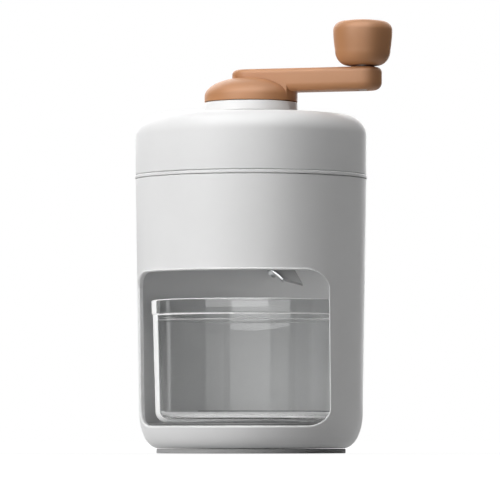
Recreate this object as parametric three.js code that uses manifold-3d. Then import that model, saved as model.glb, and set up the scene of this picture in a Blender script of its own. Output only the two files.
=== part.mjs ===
// Hand-cranked ice shaver: a round housing with a window for the cup, an ice chamber with a slanted
// blade under its floor, a lid that carries the crank, and a sprung toothed pusher on the crank's shaft.
// Millimetres, +Z up. The origin is the centre of the foot's underside and the window faces -Y.

import * as THREE from 'three';
import { mergeVertices } from 'three/addons/utils/BufferGeometryUtils.js';
import Module from 'manifold-3d';

const wasm = await Module();
wasm.setup();

// Fits shared by all the pieces
const seatGap = 0.3;
const cutOverrun = 2;
const mergeTolerance = 0.001;

// How finely round shapes are divided
const shellSegments = 44;
const ringSegments = 28;
const smallSegments = 14;
const screwSegments = 6;
const cornerSteps = 3;

// Foot and base plate
const footInset = 10.2;
const footHeight = 2.7;
const footEdge = 0.6;
const basePlateThickness = 2.4;
const baseRimWidth = 3.5;
const baseOpeningDepth = 3;
const baseFlangeWidth = 5.5;
const baseFlangeThickness = 2.4;
const baseScrewCount = 4;
const baseScrewInset = 11.5;
const baseBossRadius = 4.2;

// Housing shell
const shellCornerInset = 11.3;
const shellCornerHeight = 21;
const shellWaistRadius = 66.3;
const shellFlare = 2.3;
const shellTopHeight = 162.5;
const shellWall = 3.3;

// Window in the shell, which clears the cup's rim
const windowSideGap = 0.9;
const windowHeadroom = 16;
const windowCornerRadius = 13;

// Tray that the cup stands on
const deckHeight = 17.7;
const trayThickness = 3;
const traySkirtOverhang = 4;
const traySkirtWall = 2.4;
const sillDrop = 0.6;

// Cup
const cupCentreSetback = 4;
const cupSideGap = 5.1;
const cupDraft = 1.5;
const cupCornerRadius = 7;
const cupWall = 2.6;
const cupBaseThickness = 2.8;
const cupRimProud = 0.9;
const cupRimHeight = 8.4;
const cupRimEdge = 0.8;
const cupHeight = 72.5;
const cupLedgeDrop = 11.5;
const cupLedgeWidth = 1.1;
const cupStopGap = 0.6;
const cupStopThickness = 2.2;
const cupStopHeight = 6;
const cupStopHalfTurnDegrees = 50;

// Ice chamber
const flangeThickness = 2;
const flangeOverhang = 0.4;
const chamberTopClearance = 0.7;
const chamberFloorClearance = 2.45;
const chamberWall = 2.4;
const chamberRise = 4.8;
const chamberLipWidth = 2.1;
const chamberLipThickness = 1.4;
const chamberFloorThickness = 3;
const slotInnerEnd = 9;
const slotEndWall = 4.6;
const slotLeftWidth = 4;

// Blade and the block that carries it, in a frame turned about the upright axis
const bladeTurnDegrees = 16.5;
const bladeSlopeDegrees = 40.8;
const bladeEdgeOffset = 2.9;
const bladeProud = 0.3;
const bladeWidth = 21;
const bladeThickness = 1.2;
const bladeBevel = 2.4;
const bladeInnerEnd = 10;
const bladeEndGap = 1;
const bladeScrewAlong = 13;
const bladeScrewShares = [0.36, 0.65];
const holderInnerEnd = 14;
const holderEndInset = 5;
const holderTopWidth = 14.7;
const holderRightLean = 6.8;
const holderRightDepth = 12.2;
const holderLeftDepth = 9.5;
const holderScrewOffset = 20;
const holderScrewInset = 4;

// Lid shell and liner
const lidWall = 2.8;
const lidCornerRadius = 12;
const lidSideHeight = 23.2;
const crownRise = 2;
const linerPlateDrop = 0.3;
const linerThickness = 2.4;
const linerSkirtReach = 4.3;
const linerSkirtGap = 0.6;
const linerHoleRadius = 16;
const linerScrewCount = 3;
const linerScrewInset = 16.6;
const linerBossRadius = 4.2;
const lugCount = 3;
const lugDepth = 1.4;
const lugHalfWidth = 6;
const lugHeight = 4;
const lugGap = 0.4;

// Neck collar, bush and thrust washer
const collarRadius = 27.6;
const collarHeight = 5.7;
const collarEdge = 0.5;
const collarSpigotRadius = 14;
const collarSpigotReach = 3.2;
const collarScrewCount = 3;
const collarScrewCircleRadius = 23.8;
const thrustWasherInnerRadius = 12;
const thrustWasherOuterRadius = 20;
const thrustWasherThickness = 0.8;
const bushWall = 2.8;
const bushFlangeWidth = 2.3;
const bushFlangeThickness = 1.5;

// Drive shaft with its clip and spring seat
const shaftFlangeRadius = 11.5;
const shaftFlangeThickness = 2.2;
const shaftJournalRadius = 5.6;
const shaftAcrossFlats = 8;
const shaftCornerRadius = 5.3;
const shaftJournalLength = 22.4;
const shaftGrooveDepth = 1;
const clipThickness = 1;
const clipWidth = 4.6;
const clipMouthWidth = 7;
const seatThickness = 1.5;
const seatRadius = 12.5;
const seatSleeveWall = 1.5;
const seatSleeveLength = 4.4;

// Crank hub and arm
const hubRadius = 27.7;
const hubSideHeight = 3.4;
const hubDomeHeight = 11.7;
const armHalfWidth = 11.3;
const armReach = 69.1;
const armLift = 5.7;
const armThickness = 13.5;
const armTopRounding = 3;
const armUnderRounding = 4.6;
const tongueSetback = 14;
const crankScrewCount = 3;
const crankScrewCircleRadius = 8;

// Knob and its axle
const knobRadius = 17.8;
const knobHeight = 27.1;
const knobFootRadius = 12;
const knobFootRounding = 5.6;
const knobWaistRadius = 16.6;
const knobWaistHeight = 7;
const knobShoulderHeight = 16;
const knobTopRounding = 5;
const knobCrown = 0.6;
const knobWasherRadius = 8;
const knobWasherThickness = 0.5;
const axleRadius = 4.2;
const axleSeatDepth = 8.5;
const axleBarbRadius = 5.6;
const axleBarbHeight = 15;
const axleBarbLength = 3;
const axleTipLength = 1.6;

// Pusher and its spring
const pusherSideGap = 7.6;
const pusherThickness = 2.6;
const pusherHeight = 7.5;
const pusherBossRadius = 7.6;
const pusherBossHeight = 8;
const pusherRimWidth = 2;
const pusherRimHeight = 3.4;
const pusherRibCount = 4;
const pusherRibStart = 11.5;
const pusherRibHeight = 4.4;
const pusherRibThickness = 2;
const toothRadius = 4;
const toothLength = 6;
const toothCount = 4;
const toothCircleShares = [0.423, 0.808];
const endWasherRadius = 9;
const endWasherThickness = 1.2;
const springRadius = 9.2;
const springWireRadius = 0.75;
const springTurns = 9;
const springStepsPerTurn = 8;
const springSides = 5;
const springEndPitch = 2.1;

// Screws: head radius, head height, shank radius and length under the head
const smallScrew = { headRadius: 2.6, headHeight: 1, shankRadius: 1.3, length: 10 };
const bladeScrew = { headRadius: 3, headHeight: 1.6, shankRadius: 1.3, length: 7 };
const holderScrew = { headRadius: 3, headHeight: 1.6, shankRadius: 1.4, length: 8 };
const caseScrew = { headRadius: 3, headHeight: 1.2, shankRadius: 1.4, length: 7.4 };
const collarScrew = { headRadius: 3, headHeight: 1.4, shankRadius: 1.3, length: 6.6 };
const axleScrew = { headRadius: 3.6, headHeight: 1.8, shankRadius: 1.6, length: 10 };
const endScrew = { headRadius: 4, headHeight: 1.8, shankRadius: 1.7, length: 9 };

// Heights and radii that follow from the sizes above
const shellBottom = footHeight + seatGap;
const shellCornerTop = shellBottom + shellCornerHeight;
const shellTopRadius = shellWaistRadius + shellFlare;
const footRadius = shellWaistRadius - footInset;
const baseOpeningRadius = shellWaistRadius - shellCornerInset - baseRimWidth;
const baseFlangeRadius = baseOpeningRadius - baseFlangeWidth;
const baseFlangeBottom = shellBottom + baseOpeningDepth;
const baseFlangeTop = baseFlangeBottom + baseFlangeThickness;
const baseScrewCircleRadius = baseOpeningRadius - baseScrewInset;
const trayBottom = deckHeight - trayThickness;
const traySkirtRadius = baseOpeningRadius + traySkirtOverhang;
const sillHeight = deckHeight - sillDrop;
const cupBottom = deckHeight + seatGap;
const cupTop = cupBottom + cupHeight;
const cupRimRadius = shellWaistRadius - shellWall - cupSideGap;
const cupTopRadius = cupRimRadius - cupRimProud;
const cupFootRadius = cupTopRadius - cupDraft;
const windowHalfWidth = cupRimRadius + windowSideGap;
const windowTopHeight = cupTop + windowHeadroom;
const flangeBottom = shellTopHeight + seatGap;
const flangeTop = flangeBottom + flangeThickness;
const flangeRadius = shellTopRadius + flangeOverhang;
const chamberTopRadius = shellTopRadius - shellWall - chamberTopClearance;
const chamberMouthRadius = chamberTopRadius - chamberWall;
const chamberUnderHeight = windowTopHeight + chamberRise;
const chamberFloorTop = chamberUnderHeight + chamberFloorThickness;
const chamberFloorRadius = shellRadiusAt(chamberUnderHeight) - shellWall - chamberFloorClearance;
const chamberInnerRadius = chamberFloorRadius - chamberWall;
const chamberLipRadius = chamberInnerRadius - chamberLipWidth;
const chamberLipTop = chamberUnderHeight + chamberLipThickness;
const slotOuterEnd = chamberInnerRadius - slotEndWall;
const bladeLength = slotOuterEnd - bladeEndGap - bladeInnerEnd;
const bladeScrewPlaces = bladeScrewShares.map((share) => bladeInnerEnd + bladeLength * share);
const holderLength = slotOuterEnd - holderEndInset - holderInnerEnd;
const holderScrewPlaces = [holderInnerEnd + holderScrewInset, holderInnerEnd + holderLength - holderScrewInset];
const bladeSlope = THREE.MathUtils.degToRad(bladeSlopeDegrees);
const bladeTurn = THREE.MathUtils.degToRad(bladeTurnDegrees);
const bladeEdgeHeight = chamberFloorTop + bladeProud;
const holderTop = chamberUnderHeight - seatGap;
const lidBottom = flangeTop + seatGap;
const lidRadius = shellTopRadius;
const lidCornerHeight = lidBottom + lidSideHeight;
const crownEdgeHeight = lidCornerHeight + lidCornerRadius;
const crownTop = crownEdgeHeight + crownRise;
const linerSkirtRadius = chamberMouthRadius - linerSkirtGap;
const linerPlateHeight = lidCornerHeight - linerPlateDrop;
const linerScrewCircleRadius = linerSkirtRadius - linerScrewInset;
const linerTop = linerPlateHeight + linerThickness;
const collarBottom = crownTop + seatGap;
const collarTop = collarBottom + collarHeight;
const collarSpigotBottom = crownTop - lidWall - collarSpigotReach;
const collarBoreRadius = shaftJournalRadius + bushWall + seatGap + seatGap;
const washerBottom = collarTop - thrustWasherThickness;
const hubBottom = collarTop + seatGap;
const bushBottom = collarSpigotBottom - seatGap - bushFlangeThickness;
const shaftTop = hubBottom + seatGap + shaftFlangeThickness;
const hubRecessTop = shaftTop + seatGap;
const journalBottom = hubBottom + seatGap - shaftJournalLength;
const clipTop = bushBottom - seatGap;
const clipBottom = clipTop - clipThickness;
const seatTop = clipBottom - seatGap;
const seatBottom = seatTop - seatThickness;
const armBottom = hubBottom + armLift;
const armTop = armBottom + armThickness;
const knobWasherBottom = armTop + seatGap;
const knobBottom = knobWasherBottom + knobWasherThickness + seatGap;
const knobTop = knobBottom + knobHeight;
const axleBottom = armTop - axleSeatDepth;
const pusherRadius = chamberInnerRadius - pusherSideGap;
const toothCircles = toothCircleShares.map((share) => pusherRadius * share);
const pusherBottom = chamberFloorTop + pusherHeight;
const pusherTop = pusherBottom + pusherThickness;
const shaftBottom = pusherBottom;
const springBottom = pusherTop + seatGap;
const springTop = seatBottom - seatGap;

// Finishes
const whitePlastic = { color: 0xe8e8e8, roughness: 0.55, metalness: 0 };
const brownPlastic = { color: 0xb9855c, roughness: 0.6, metalness: 0 };
const greyRubber = { color: 0x9a9a9a, roughness: 0.8, metalness: 0 };
const clearPlastic = { color: 0xdfe4e6, roughness: 0.08, metalness: 0, transparent: true, opacity: 0.35 };
const bearingPlastic = { color: 0xd8d4c8, roughness: 0.45, metalness: 0 };
const steel = { color: 0xb8bcc0, roughness: 0.3, metalness: 1 };

// A geometry as a closed solid, without the sliver triangles that a revolve leaves on its axis
function asSolid(geometry) {
  const bare = geometry.clone();
  bare.deleteAttribute('normal');
  bare.deleteAttribute('uv');
  const merged = mergeVertices(bare, mergeTolerance);
  const corners = merged.index.array;
  const triangles = [];
  for (let i = 0; i < corners.length; i += 3) {
    const [a, b, c] = corners.slice(i, i + 3);
    if (a !== b && b !== c && c !== a) triangles.push(a, b, c);
  }
  return new wasm.Manifold(new wasm.Mesh({
    numProp: 3,
    vertProperties: new Float32Array(merged.attributes.position.array),
    triVerts: new Uint32Array(triangles),
  }));
}

function asGeometry(solid) {
  const { vertProperties, triVerts } = solid.getMesh();
  const geometry = new THREE.BufferGeometry();
  geometry.setAttribute('position', new THREE.BufferAttribute(vertProperties, 3));
  geometry.setIndex(new THREE.BufferAttribute(triVerts, 1));
  return geometry;
}

function join(first, ...others) {
  return asGeometry(others.reduce((whole, next) => whole.add(asSolid(next)), asSolid(first)));
}

function cut(first, ...tools) {
  return asGeometry(tools.reduce((whole, tool) => whole.subtract(asSolid(tool)), asSolid(first)));
}

function overlapOf(first, second) {
  return asGeometry(asSolid(first).intersect(asSolid(second)));
}

// A profile of [radius, height] points turned about the upright axis; it starts and ends on the axis
function revolve(profile, segments) {
  const points = profile.map(([radius, height]) => new THREE.Vector2(radius, height));
  return new THREE.LatheGeometry(points, segments).rotateX(Math.PI / 2);
}

// The same for a profile that goes round a bore and closes on itself
function revolveRing(profile, segments) {
  return revolve([...profile, profile[0]], segments);
}

function disc(radius, bottom, top, segments) {
  const height = top - bottom;
  const cylinder = new THREE.CylinderGeometry(radius, radius, height, segments);
  return cylinder.rotateX(Math.PI / 2).translate(0, 0, bottom + height / 2);
}

function washer(innerRadius, outerRadius, bottom, top, segments) {
  const profile = [[innerRadius, bottom], [outerRadius, bottom], [outerRadius, top], [innerRadius, top]];
  return revolveRing(profile, segments);
}

function block(from, to) {
  const low = new THREE.Vector3(...from);
  const size = new THREE.Vector3(...to).sub(low);
  const box = new THREE.BoxGeometry(size.x, size.y, size.z);
  return box.translate(low.x + size.x / 2, low.y + size.y / 2, low.z + size.z / 2);
}

// A quarter turn of an ellipse as [radius, height] points, from one angle to another in degrees
function arc(centre, halfWidth, halfHeight, fromDegrees, toDegrees, steps = cornerSteps) {
  return Array.from({ length: steps + 1 }, (_, i) => {
    const angle = THREE.MathUtils.degToRad(fromDegrees + (toDegrees - fromDegrees) * i / steps);
    return [centre[0] + halfWidth * Math.cos(angle), centre[1] + halfHeight * Math.sin(angle)];
  });
}

function roundedRectangle(left, right, bottom, top, radius) {
  const shape = new THREE.Shape();
  shape.absarc(right - radius, bottom + radius, radius, -Math.PI / 2, 0);
  shape.absarc(right - radius, top - radius, radius, 0, Math.PI / 2);
  shape.absarc(left + radius, top - radius, radius, Math.PI / 2, Math.PI);
  shape.absarc(left + radius, bottom + radius, radius, Math.PI, Math.PI * 3 / 2);
  return shape;
}

function polygon(points) {
  return new THREE.Shape(points.map(([x, y]) => new THREE.Vector2(x, y)));
}

// A shape drawn in X and Z, pushed towards the front between two distances from the axis
function frontPrism(shape, near, far, curveSegments = cornerSteps) {
  const options = { depth: far - near, bevelEnabled: false, curveSegments };
  return new THREE.ExtrudeGeometry(shape, options).rotateX(Math.PI / 2).translate(0, -near, 0);
}

// Places on a circle as [x, y, turn]
function aroundAxis(count, radius, firstTurn = 0) {
  return Array.from({ length: count }, (_, i) => {
    const turn = firstTurn + Math.PI * 2 * i / count;
    return [radius * Math.cos(turn), radius * Math.sin(turn), turn];
  });
}

// A screw standing on its head, which lies at height zero
function screwGeometry(screw) {
  const headEdge = screw.headHeight / 2;
  const tip = screw.shankRadius;
  const end = screw.headHeight + screw.length;
  return revolve([
    [0, 0],
    [screw.headRadius - headEdge, 0],
    [screw.headRadius, screw.headHeight],
    [screw.shankRadius, screw.headHeight],
    [screw.shankRadius, end - tip],
    [0, end],
  ], screwSegments);
}

function screwHole(screw, bottom, top) {
  return disc(screw.shankRadius + seatGap, bottom, top, screwSegments);
}

function headRecess(screw, bottom, top) {
  return disc(screw.headRadius + seatGap, bottom, top, smallSegments);
}

function piece(name, geometry, finish) {
  const shown = geometry.index ? geometry : mergeVertices(geometry);
  shown.computeVertexNormals();
  const mesh = new THREE.Mesh(shown, new THREE.MeshStandardMaterial(finish));
  mesh.name = name;
  return mesh;
}

// Copies of one screw, heads down, at a height and at places on a circle
function screwRing(name, screw, places, height) {
  return places.map(([x, y], i) => {
    const mesh = piece(`${name}_${i + 1}`, screwGeometry(screw), steel);
    mesh.position.set(x, y, height);
    return mesh;
  });
}

function shellRadiusAt(height) {
  if (height >= shellCornerTop) {
    const rise = (height - shellCornerTop) / (shellTopHeight - shellCornerTop);
    return THREE.MathUtils.lerp(shellWaistRadius, shellTopRadius, rise);
  }
  const drop = (shellCornerTop - height) / shellCornerHeight;
  return shellWaistRadius - shellCornerInset * (1 - Math.sqrt(1 - drop * drop));
}

// Foot, base plate and shell
const baseScrewPlaces = aroundAxis(baseScrewCount, baseScrewCircleRadius, Math.PI / baseScrewCount);
const basePlateTop = shellBottom + basePlateThickness;
const baseHeadSeat = shellBottom + caseScrew.headHeight + seatGap;

function footPad() {
  return revolve([
    [0, 0],
    [footRadius - footEdge, 0],
    [footRadius, footEdge],
    [footRadius, footHeight],
    [0, footHeight],
  ], shellSegments);
}

function basePlate() {
  const plate = disc(baseOpeningRadius - seatGap, shellBottom, basePlateTop, shellSegments);
  const holes = baseScrewPlaces.flatMap(([x, y]) => [
    screwHole(caseScrew, shellBottom - cutOverrun, basePlateTop + cutOverrun).translate(x, y, 0),
    headRecess(caseScrew, shellBottom - cutOverrun, baseHeadSeat).translate(x, y, 0),
  ]);
  return cut(plate, ...holes);
}

function bodyShell() {
  const corner = [shellWaistRadius - shellCornerInset, shellCornerTop];
  const blank = revolveRing([
    [baseFlangeRadius, baseFlangeBottom],
    [baseOpeningRadius, baseFlangeBottom],
    [baseOpeningRadius, shellBottom],
    ...arc(corner, shellCornerInset, shellCornerHeight, -90, 0, cornerSteps * 2),
    [shellTopRadius, shellTopHeight],
    [shellTopRadius - shellWall, shellTopHeight],
    [shellWaistRadius - shellWall, shellCornerTop],
    [shellRadiusAt(deckHeight) - shellWall, deckHeight],
    [shellRadiusAt(trayBottom) - shellWall, trayBottom],
    [shellRadiusAt(baseFlangeTop) - shellWall, baseFlangeTop],
    [baseFlangeRadius, baseFlangeTop],
  ], shellSegments);
  const opening = roundedRectangle(
    -windowHalfWidth, windowHalfWidth, sillHeight, windowTopHeight, windowCornerRadius);
  return cut(blank, frontPrism(opening, 0, shellTopRadius + cutOverrun, cornerSteps * 2));
}

// The tray stands on the shell's flange by its skirt, a little above the window's sill
function trayDisc() {
  const skirtFoot = baseFlangeTop + seatGap;
  return revolve([
    [0, trayBottom],
    [traySkirtRadius - traySkirtWall, trayBottom],
    [traySkirtRadius - traySkirtWall, skirtFoot],
    [traySkirtRadius, skirtFoot],
    [traySkirtRadius, trayBottom],
    [shellRadiusAt(trayBottom) - shellWall - seatGap, trayBottom],
    [shellRadiusAt(deckHeight) - shellWall - seatGap, deckHeight],
    [0, deckHeight],
  ], shellSegments);
}

// A low rib behind the cup that stops it
function cupStop() {
  const halfTurn = THREE.MathUtils.degToRad(cupStopHalfTurnDegrees);
  const inner = cupTopRadius + cupStopGap;
  const outer = inner + cupStopThickness;
  const shape = new THREE.Shape();
  shape.absarc(0, 0, outer, Math.PI / 2 - halfTurn, Math.PI / 2 + halfTurn);
  shape.absarc(0, 0, inner, Math.PI / 2 + halfTurn, Math.PI / 2 - halfTurn, true);
  const depth = cupStopHeight + trayThickness / 2;
  const rib = new THREE.ExtrudeGeometry(shape, { depth, bevelEnabled: false, curveSegments: smallSegments / 2 });
  return rib.translate(0, -cupCentreSetback, deckHeight - trayThickness / 2);
}

function cupTray() {
  const bosses = baseScrewPlaces.map(([x, y]) => disc(
    baseBossRadius, basePlateTop + seatGap, deckHeight - trayThickness / 2, smallSegments).translate(x, y, 0));
  const bossHoles = baseScrewPlaces.map(([x, y]) => screwHole(
    caseScrew, shellBottom, shellBottom + caseScrew.headHeight + caseScrew.length + seatGap).translate(x, y, 0));
  return cut(join(trayDisc(), cupStop(), ...bosses), ...bossHoles);
}

function foot() {
  const group = new THREE.Group();
  group.add(
    piece('foot_pad', footPad(), greyRubber),
    piece('base_plate', basePlate(), whitePlastic),
    ...screwRing('base_screw', caseScrew, baseScrewPlaces, shellBottom),
    piece('body_shell', bodyShell(), whitePlastic),
    piece('cup_tray', cupTray(), whitePlastic),
  );
  return group;
}

// Cup with a thick corner, a stepped mouth and a banded rim
function cup() {
  const rimBottom = cupTop - cupRimHeight;
  const ledge = cupTop - cupLedgeDrop;
  const footCorner = [cupFootRadius - cupCornerRadius, cupBottom + cupCornerRadius];
  const innerCornerRadius = cupCornerRadius - cupWall;
  const innerCorner = [cupFootRadius - cupCornerRadius, cupBottom + cupBaseThickness + innerCornerRadius];
  const mouthRadius = cupTopRadius - cupWall + cupLedgeWidth;
  const outline = [
    [0, cupBottom],
    ...arc(footCorner, cupCornerRadius, cupCornerRadius, -90, 0),
    [cupTopRadius, rimBottom],
    [cupRimRadius, rimBottom + cupRimEdge],
    [cupRimRadius, cupTop - cupRimEdge],
    [cupRimRadius - cupRimEdge, cupTop],
    [mouthRadius, cupTop],
    [mouthRadius, ledge],
    [cupTopRadius - cupWall, ledge],
    ...arc(innerCorner, innerCornerRadius, innerCornerRadius, 0, -90),
    [0, cupBottom + cupBaseThickness],
  ];
  const mesh = piece('cup', revolve(outline, shellSegments), clearPlastic);
  mesh.position.y = -cupCentreSetback;
  return mesh;
}

// A point of the blade's cross-section: how far down its slope, and how far out from its cutting face
function bladePoint(along, out) {
  return [
    bladeEdgeOffset + along * Math.cos(bladeSlope) + out * Math.sin(bladeSlope),
    bladeEdgeHeight - along * Math.sin(bladeSlope) + out * Math.cos(bladeSlope),
  ];
}

// Where the plane at one distance out from the blade's cutting face meets a height
function bladePlaneAt(height, out) {
  return bladeEdgeOffset + (bladeEdgeHeight - height) / Math.tan(bladeSlope) + out / Math.sin(bladeSlope);
}

const bladeSeat = bladeThickness + seatGap;

function chamberSlot() {
  const low = chamberUnderHeight - cutOverrun;
  const high = chamberFloorTop + cutOverrun;
  const section = polygon([
    [-slotLeftWidth, low],
    [bladePlaneAt(low, bladeSeat), low],
    [bladePlaneAt(high, bladeSeat), high],
    [-slotLeftWidth, high],
  ]);
  return frontPrism(section, slotInnerEnd, slotOuterEnd).rotateZ(bladeTurn);
}

function lugTurns() {
  return aroundAxis(lugCount, 1, Math.PI / 2 / lugCount).map(([, , turn]) => turn);
}

function lugNotch(turn) {
  const from = [linerSkirtRadius - lugDepth, -lugHalfWidth - lugGap, lidBottom - linerSkirtReach - lugGap - seatGap];
  const to = [linerSkirtRadius + lugDepth + lugGap, lugHalfWidth + lugGap, flangeTop + cutOverrun];
  return block(from, to).rotateZ(turn);
}

function iceChamber() {
  const blank = revolveRing([
    [chamberLipRadius, chamberUnderHeight],
    [chamberInnerRadius, chamberUnderHeight],
    [chamberFloorRadius, chamberUnderHeight + chamberWall],
    [chamberTopRadius, flangeBottom],
    [flangeRadius, flangeBottom],
    [flangeRadius, flangeTop],
    [chamberMouthRadius, flangeTop],
    [chamberInnerRadius, chamberFloorTop],
    [chamberInnerRadius, chamberLipTop],
    [chamberLipRadius, chamberLipTop],
  ], shellSegments);
  return cut(blank, ...lugTurns().map(lugNotch));
}

// The floor drops onto the chamber's lip and carries the blade's block under its slot
function chamberFloor() {
  const blank = revolve([
    [0, chamberUnderHeight],
    [chamberLipRadius - seatGap, chamberUnderHeight],
    [chamberLipRadius - seatGap, chamberLipTop + seatGap],
    [chamberInnerRadius - seatGap, chamberLipTop + seatGap],
    [chamberInnerRadius - seatGap, chamberFloorTop],
    [0, chamberFloorTop],
  ], shellSegments);
  const headSeat = chamberFloorTop - seatGap - holderScrew.headHeight;
  const holes = holderScrewPlaces.flatMap((distance) => [
    screwHole(holderScrew, chamberUnderHeight - cutOverrun, chamberFloorTop)
      .translate(holderScrewOffset, -distance, 0).rotateZ(bladeTurn),
    headRecess(holderScrew, headSeat, chamberFloorTop + cutOverrun)
      .translate(holderScrewOffset, -distance, 0).rotateZ(bladeTurn),
  ]);
  return cut(blank, chamberSlot(), ...holes);
}

// A hole along the blade's normal, from one distance out of its cutting face to another
function bladeHole(radius, from, to, distance) {
  const [x, z] = bladePoint(bladeScrewAlong, 0);
  return disc(radius, from, to, screwSegments).rotateY(bladeSlope).translate(x, -distance, z);
}

function blade() {
  const section = polygon([
    bladePoint(0, 0),
    bladePoint(bladeWidth, 0),
    bladePoint(bladeWidth, bladeThickness),
    bladePoint(bladeBevel, bladeThickness),
  ]);
  const holes = bladeScrewPlaces.map((distance) => bladeHole(
    bladeScrew.shankRadius + seatGap, -cutOverrun, bladeThickness + cutOverrun, distance));
  return cut(frontPrism(section.clone(), bladeInnerEnd, bladeInnerEnd + bladeLength), ...holes);
}

function bladeHolder() {
  const topLeft = bladePlaneAt(holderTop, bladeSeat);
  const section = polygon([
    [topLeft, holderTop],
    [bladePlaneAt(holderTop - holderLeftDepth, bladeSeat), holderTop - holderLeftDepth],
    [topLeft + holderTopWidth + holderRightLean, holderTop - holderRightDepth],
    [topLeft + holderTopWidth, holderTop],
  ]);
  const reach = bladeScrew.length - seatGap;
  const bladeHoles = bladeScrewPlaces.map((distance) => bladeHole(
    bladeScrew.shankRadius + seatGap, 0, reach + seatGap, distance));
  const holderHoles = holderScrewPlaces.map((distance) => screwHole(
    holderScrew, chamberFloorTop - holderScrew.headHeight - holderScrew.length - seatGap, holderTop + cutOverrun)
    .translate(holderScrewOffset, -distance, 0));
  const blank = frontPrism(section, holderInnerEnd, holderInnerEnd + holderLength);
  return cut(blank, ...bladeHoles, ...holderHoles);
}

function bladeUnit() {
  const group = new THREE.Group();
  group.rotation.z = bladeTurn;
  group.add(piece('blade', blade(), steel), piece('blade_holder', bladeHolder(), whitePlastic));
  bladeScrewPlaces.forEach((distance, i) => {
    const mesh = piece(`blade_screw_${i + 1}`, screwGeometry(bladeScrew), steel);
    const [x, z] = bladePoint(bladeScrewAlong, -seatGap - bladeScrew.headHeight);
    mesh.position.set(x, -distance, z);
    mesh.rotation.y = bladeSlope;
    group.add(mesh);
  });
  holderScrewPlaces.forEach((distance, i) => {
    const mesh = piece(`holder_screw_${i + 1}`, screwGeometry(holderScrew), steel);
    mesh.position.set(holderScrewOffset, -distance, chamberFloorTop);
    mesh.rotation.x = Math.PI;
    group.add(mesh);
  });
  return group;
}

// Lid shell, liner and neck
const linerScrewPlaces = aroundAxis(linerScrewCount, linerScrewCircleRadius, Math.PI / 2);
const collarScrewPlaces = aroundAxis(collarScrewCount, collarScrewCircleRadius, Math.PI / 2);
const linerHeadBottom = linerPlateHeight - seatGap - caseScrew.headHeight;
const collarHeadBottom = crownTop - lidWall - seatGap - collarScrew.headHeight;

function lidShell() {
  const corner = [lidRadius - lidCornerRadius, lidCornerHeight];
  const innerCorner = lidCornerRadius - lidWall;
  const holeRadius = collarSpigotRadius + seatGap;
  const blank = revolveRing([
    [holeRadius, crownTop - lidWall],
    [collarRadius, crownTop - lidWall],
    ...arc(corner, innerCorner, innerCorner, 90, 0),
    [lidRadius - lidWall, lidBottom],
    [lidRadius, lidBottom],
    ...arc(corner, lidCornerRadius, lidCornerRadius, 0, 90, cornerSteps + 2),
    [collarRadius, crownTop],
    [holeRadius, crownTop],
  ], shellSegments);
  const bosses = linerScrewPlaces.map(([x, y]) => disc(
    linerBossRadius, linerTop + seatGap, crownEdgeHeight - lidWall / 2, smallSegments).translate(x, y, 0));
  const linerHoles = linerScrewPlaces.map(([x, y]) => screwHole(
    caseScrew, linerTop, linerHeadBottom + caseScrew.headHeight + caseScrew.length + seatGap).translate(x, y, 0));
  const collarHoles = collarScrewPlaces.map(([x, y]) => screwHole(
    collarScrew, crownTop - lidWall - cutOverrun, crownTop + cutOverrun).translate(x, y, 0));
  return cut(join(blank, ...bosses), ...linerHoles, ...collarHoles);
}

function lidLiner() {
  const skirtBottom = lidBottom - linerSkirtReach;
  const skirtInner = linerSkirtRadius - linerThickness;
  const blank = revolveRing([
    [linerHoleRadius, linerPlateHeight],
    [skirtInner - linerThickness, linerPlateHeight],
    [skirtInner, linerPlateHeight - linerThickness],
    [skirtInner, skirtBottom],
    [linerSkirtRadius, skirtBottom],
    [linerSkirtRadius, linerPlateHeight],
    [skirtInner, linerTop],
    [linerHoleRadius, linerTop],
  ], shellSegments);
  const lugs = lugTurns().map((turn) => block(
    [skirtInner + linerThickness / 2, -lugHalfWidth, skirtBottom],
    [linerSkirtRadius + lugDepth, lugHalfWidth, skirtBottom + lugHeight]).rotateZ(turn));
  const holes = linerScrewPlaces.map(([x, y]) => screwHole(
    caseScrew, linerPlateHeight - cutOverrun, linerTop + cutOverrun).translate(x, y, 0));
  return cut(join(blank, ...lugs), ...holes);
}

function neckCollar() {
  const recessFloor = washerBottom - seatGap;
  const recessRadius = thrustWasherOuterRadius + seatGap;
  const blank = revolveRing([
    [collarBoreRadius, collarSpigotBottom],
    [collarSpigotRadius, collarSpigotBottom],
    [collarSpigotRadius, collarBottom],
    [collarRadius, collarBottom],
    [collarRadius, collarTop - collarEdge],
    [collarRadius - collarEdge, collarTop],
    [recessRadius, collarTop],
    [recessRadius, recessFloor],
    [collarBoreRadius, recessFloor],
  ], ringSegments);
  const holes = collarScrewPlaces.map(([x, y]) => screwHole(
    collarScrew, collarBottom - cutOverrun, collarHeadBottom + collarScrew.headHeight + collarScrew.length + seatGap)
    .translate(x, y, 0));
  return cut(blank, ...holes);
}

function shaftBush() {
  const bore = shaftJournalRadius + seatGap;
  const outer = bore + bushWall;
  const flangeTopHeight = bushBottom + bushFlangeThickness;
  return revolveRing([
    [bore, bushBottom],
    [outer + bushFlangeWidth, bushBottom],
    [outer + bushFlangeWidth, flangeTopHeight],
    [outer, flangeTopHeight],
    [outer, washerBottom - seatGap],
    [bore, washerBottom - seatGap],
  ], smallSegments);
}

function lid() {
  const group = new THREE.Group();
  group.add(
    piece('lid_shell', lidShell(), whitePlastic),
    piece('lid_liner', lidLiner(), whitePlastic),
    ...screwRing('liner_screw', caseScrew, linerScrewPlaces, linerHeadBottom),
    piece('neck_collar', neckCollar(), whitePlastic),
    ...screwRing('collar_screw', collarScrew, collarScrewPlaces, collarHeadBottom),
    piece('shaft_bush', shaftBush(), bearingPlastic),
    piece('thrust_washer', washer(
      thrustWasherInnerRadius, thrustWasherOuterRadius, washerBottom, collarTop, smallSegments), bearingPlastic),
  );
  return group;
}

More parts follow.
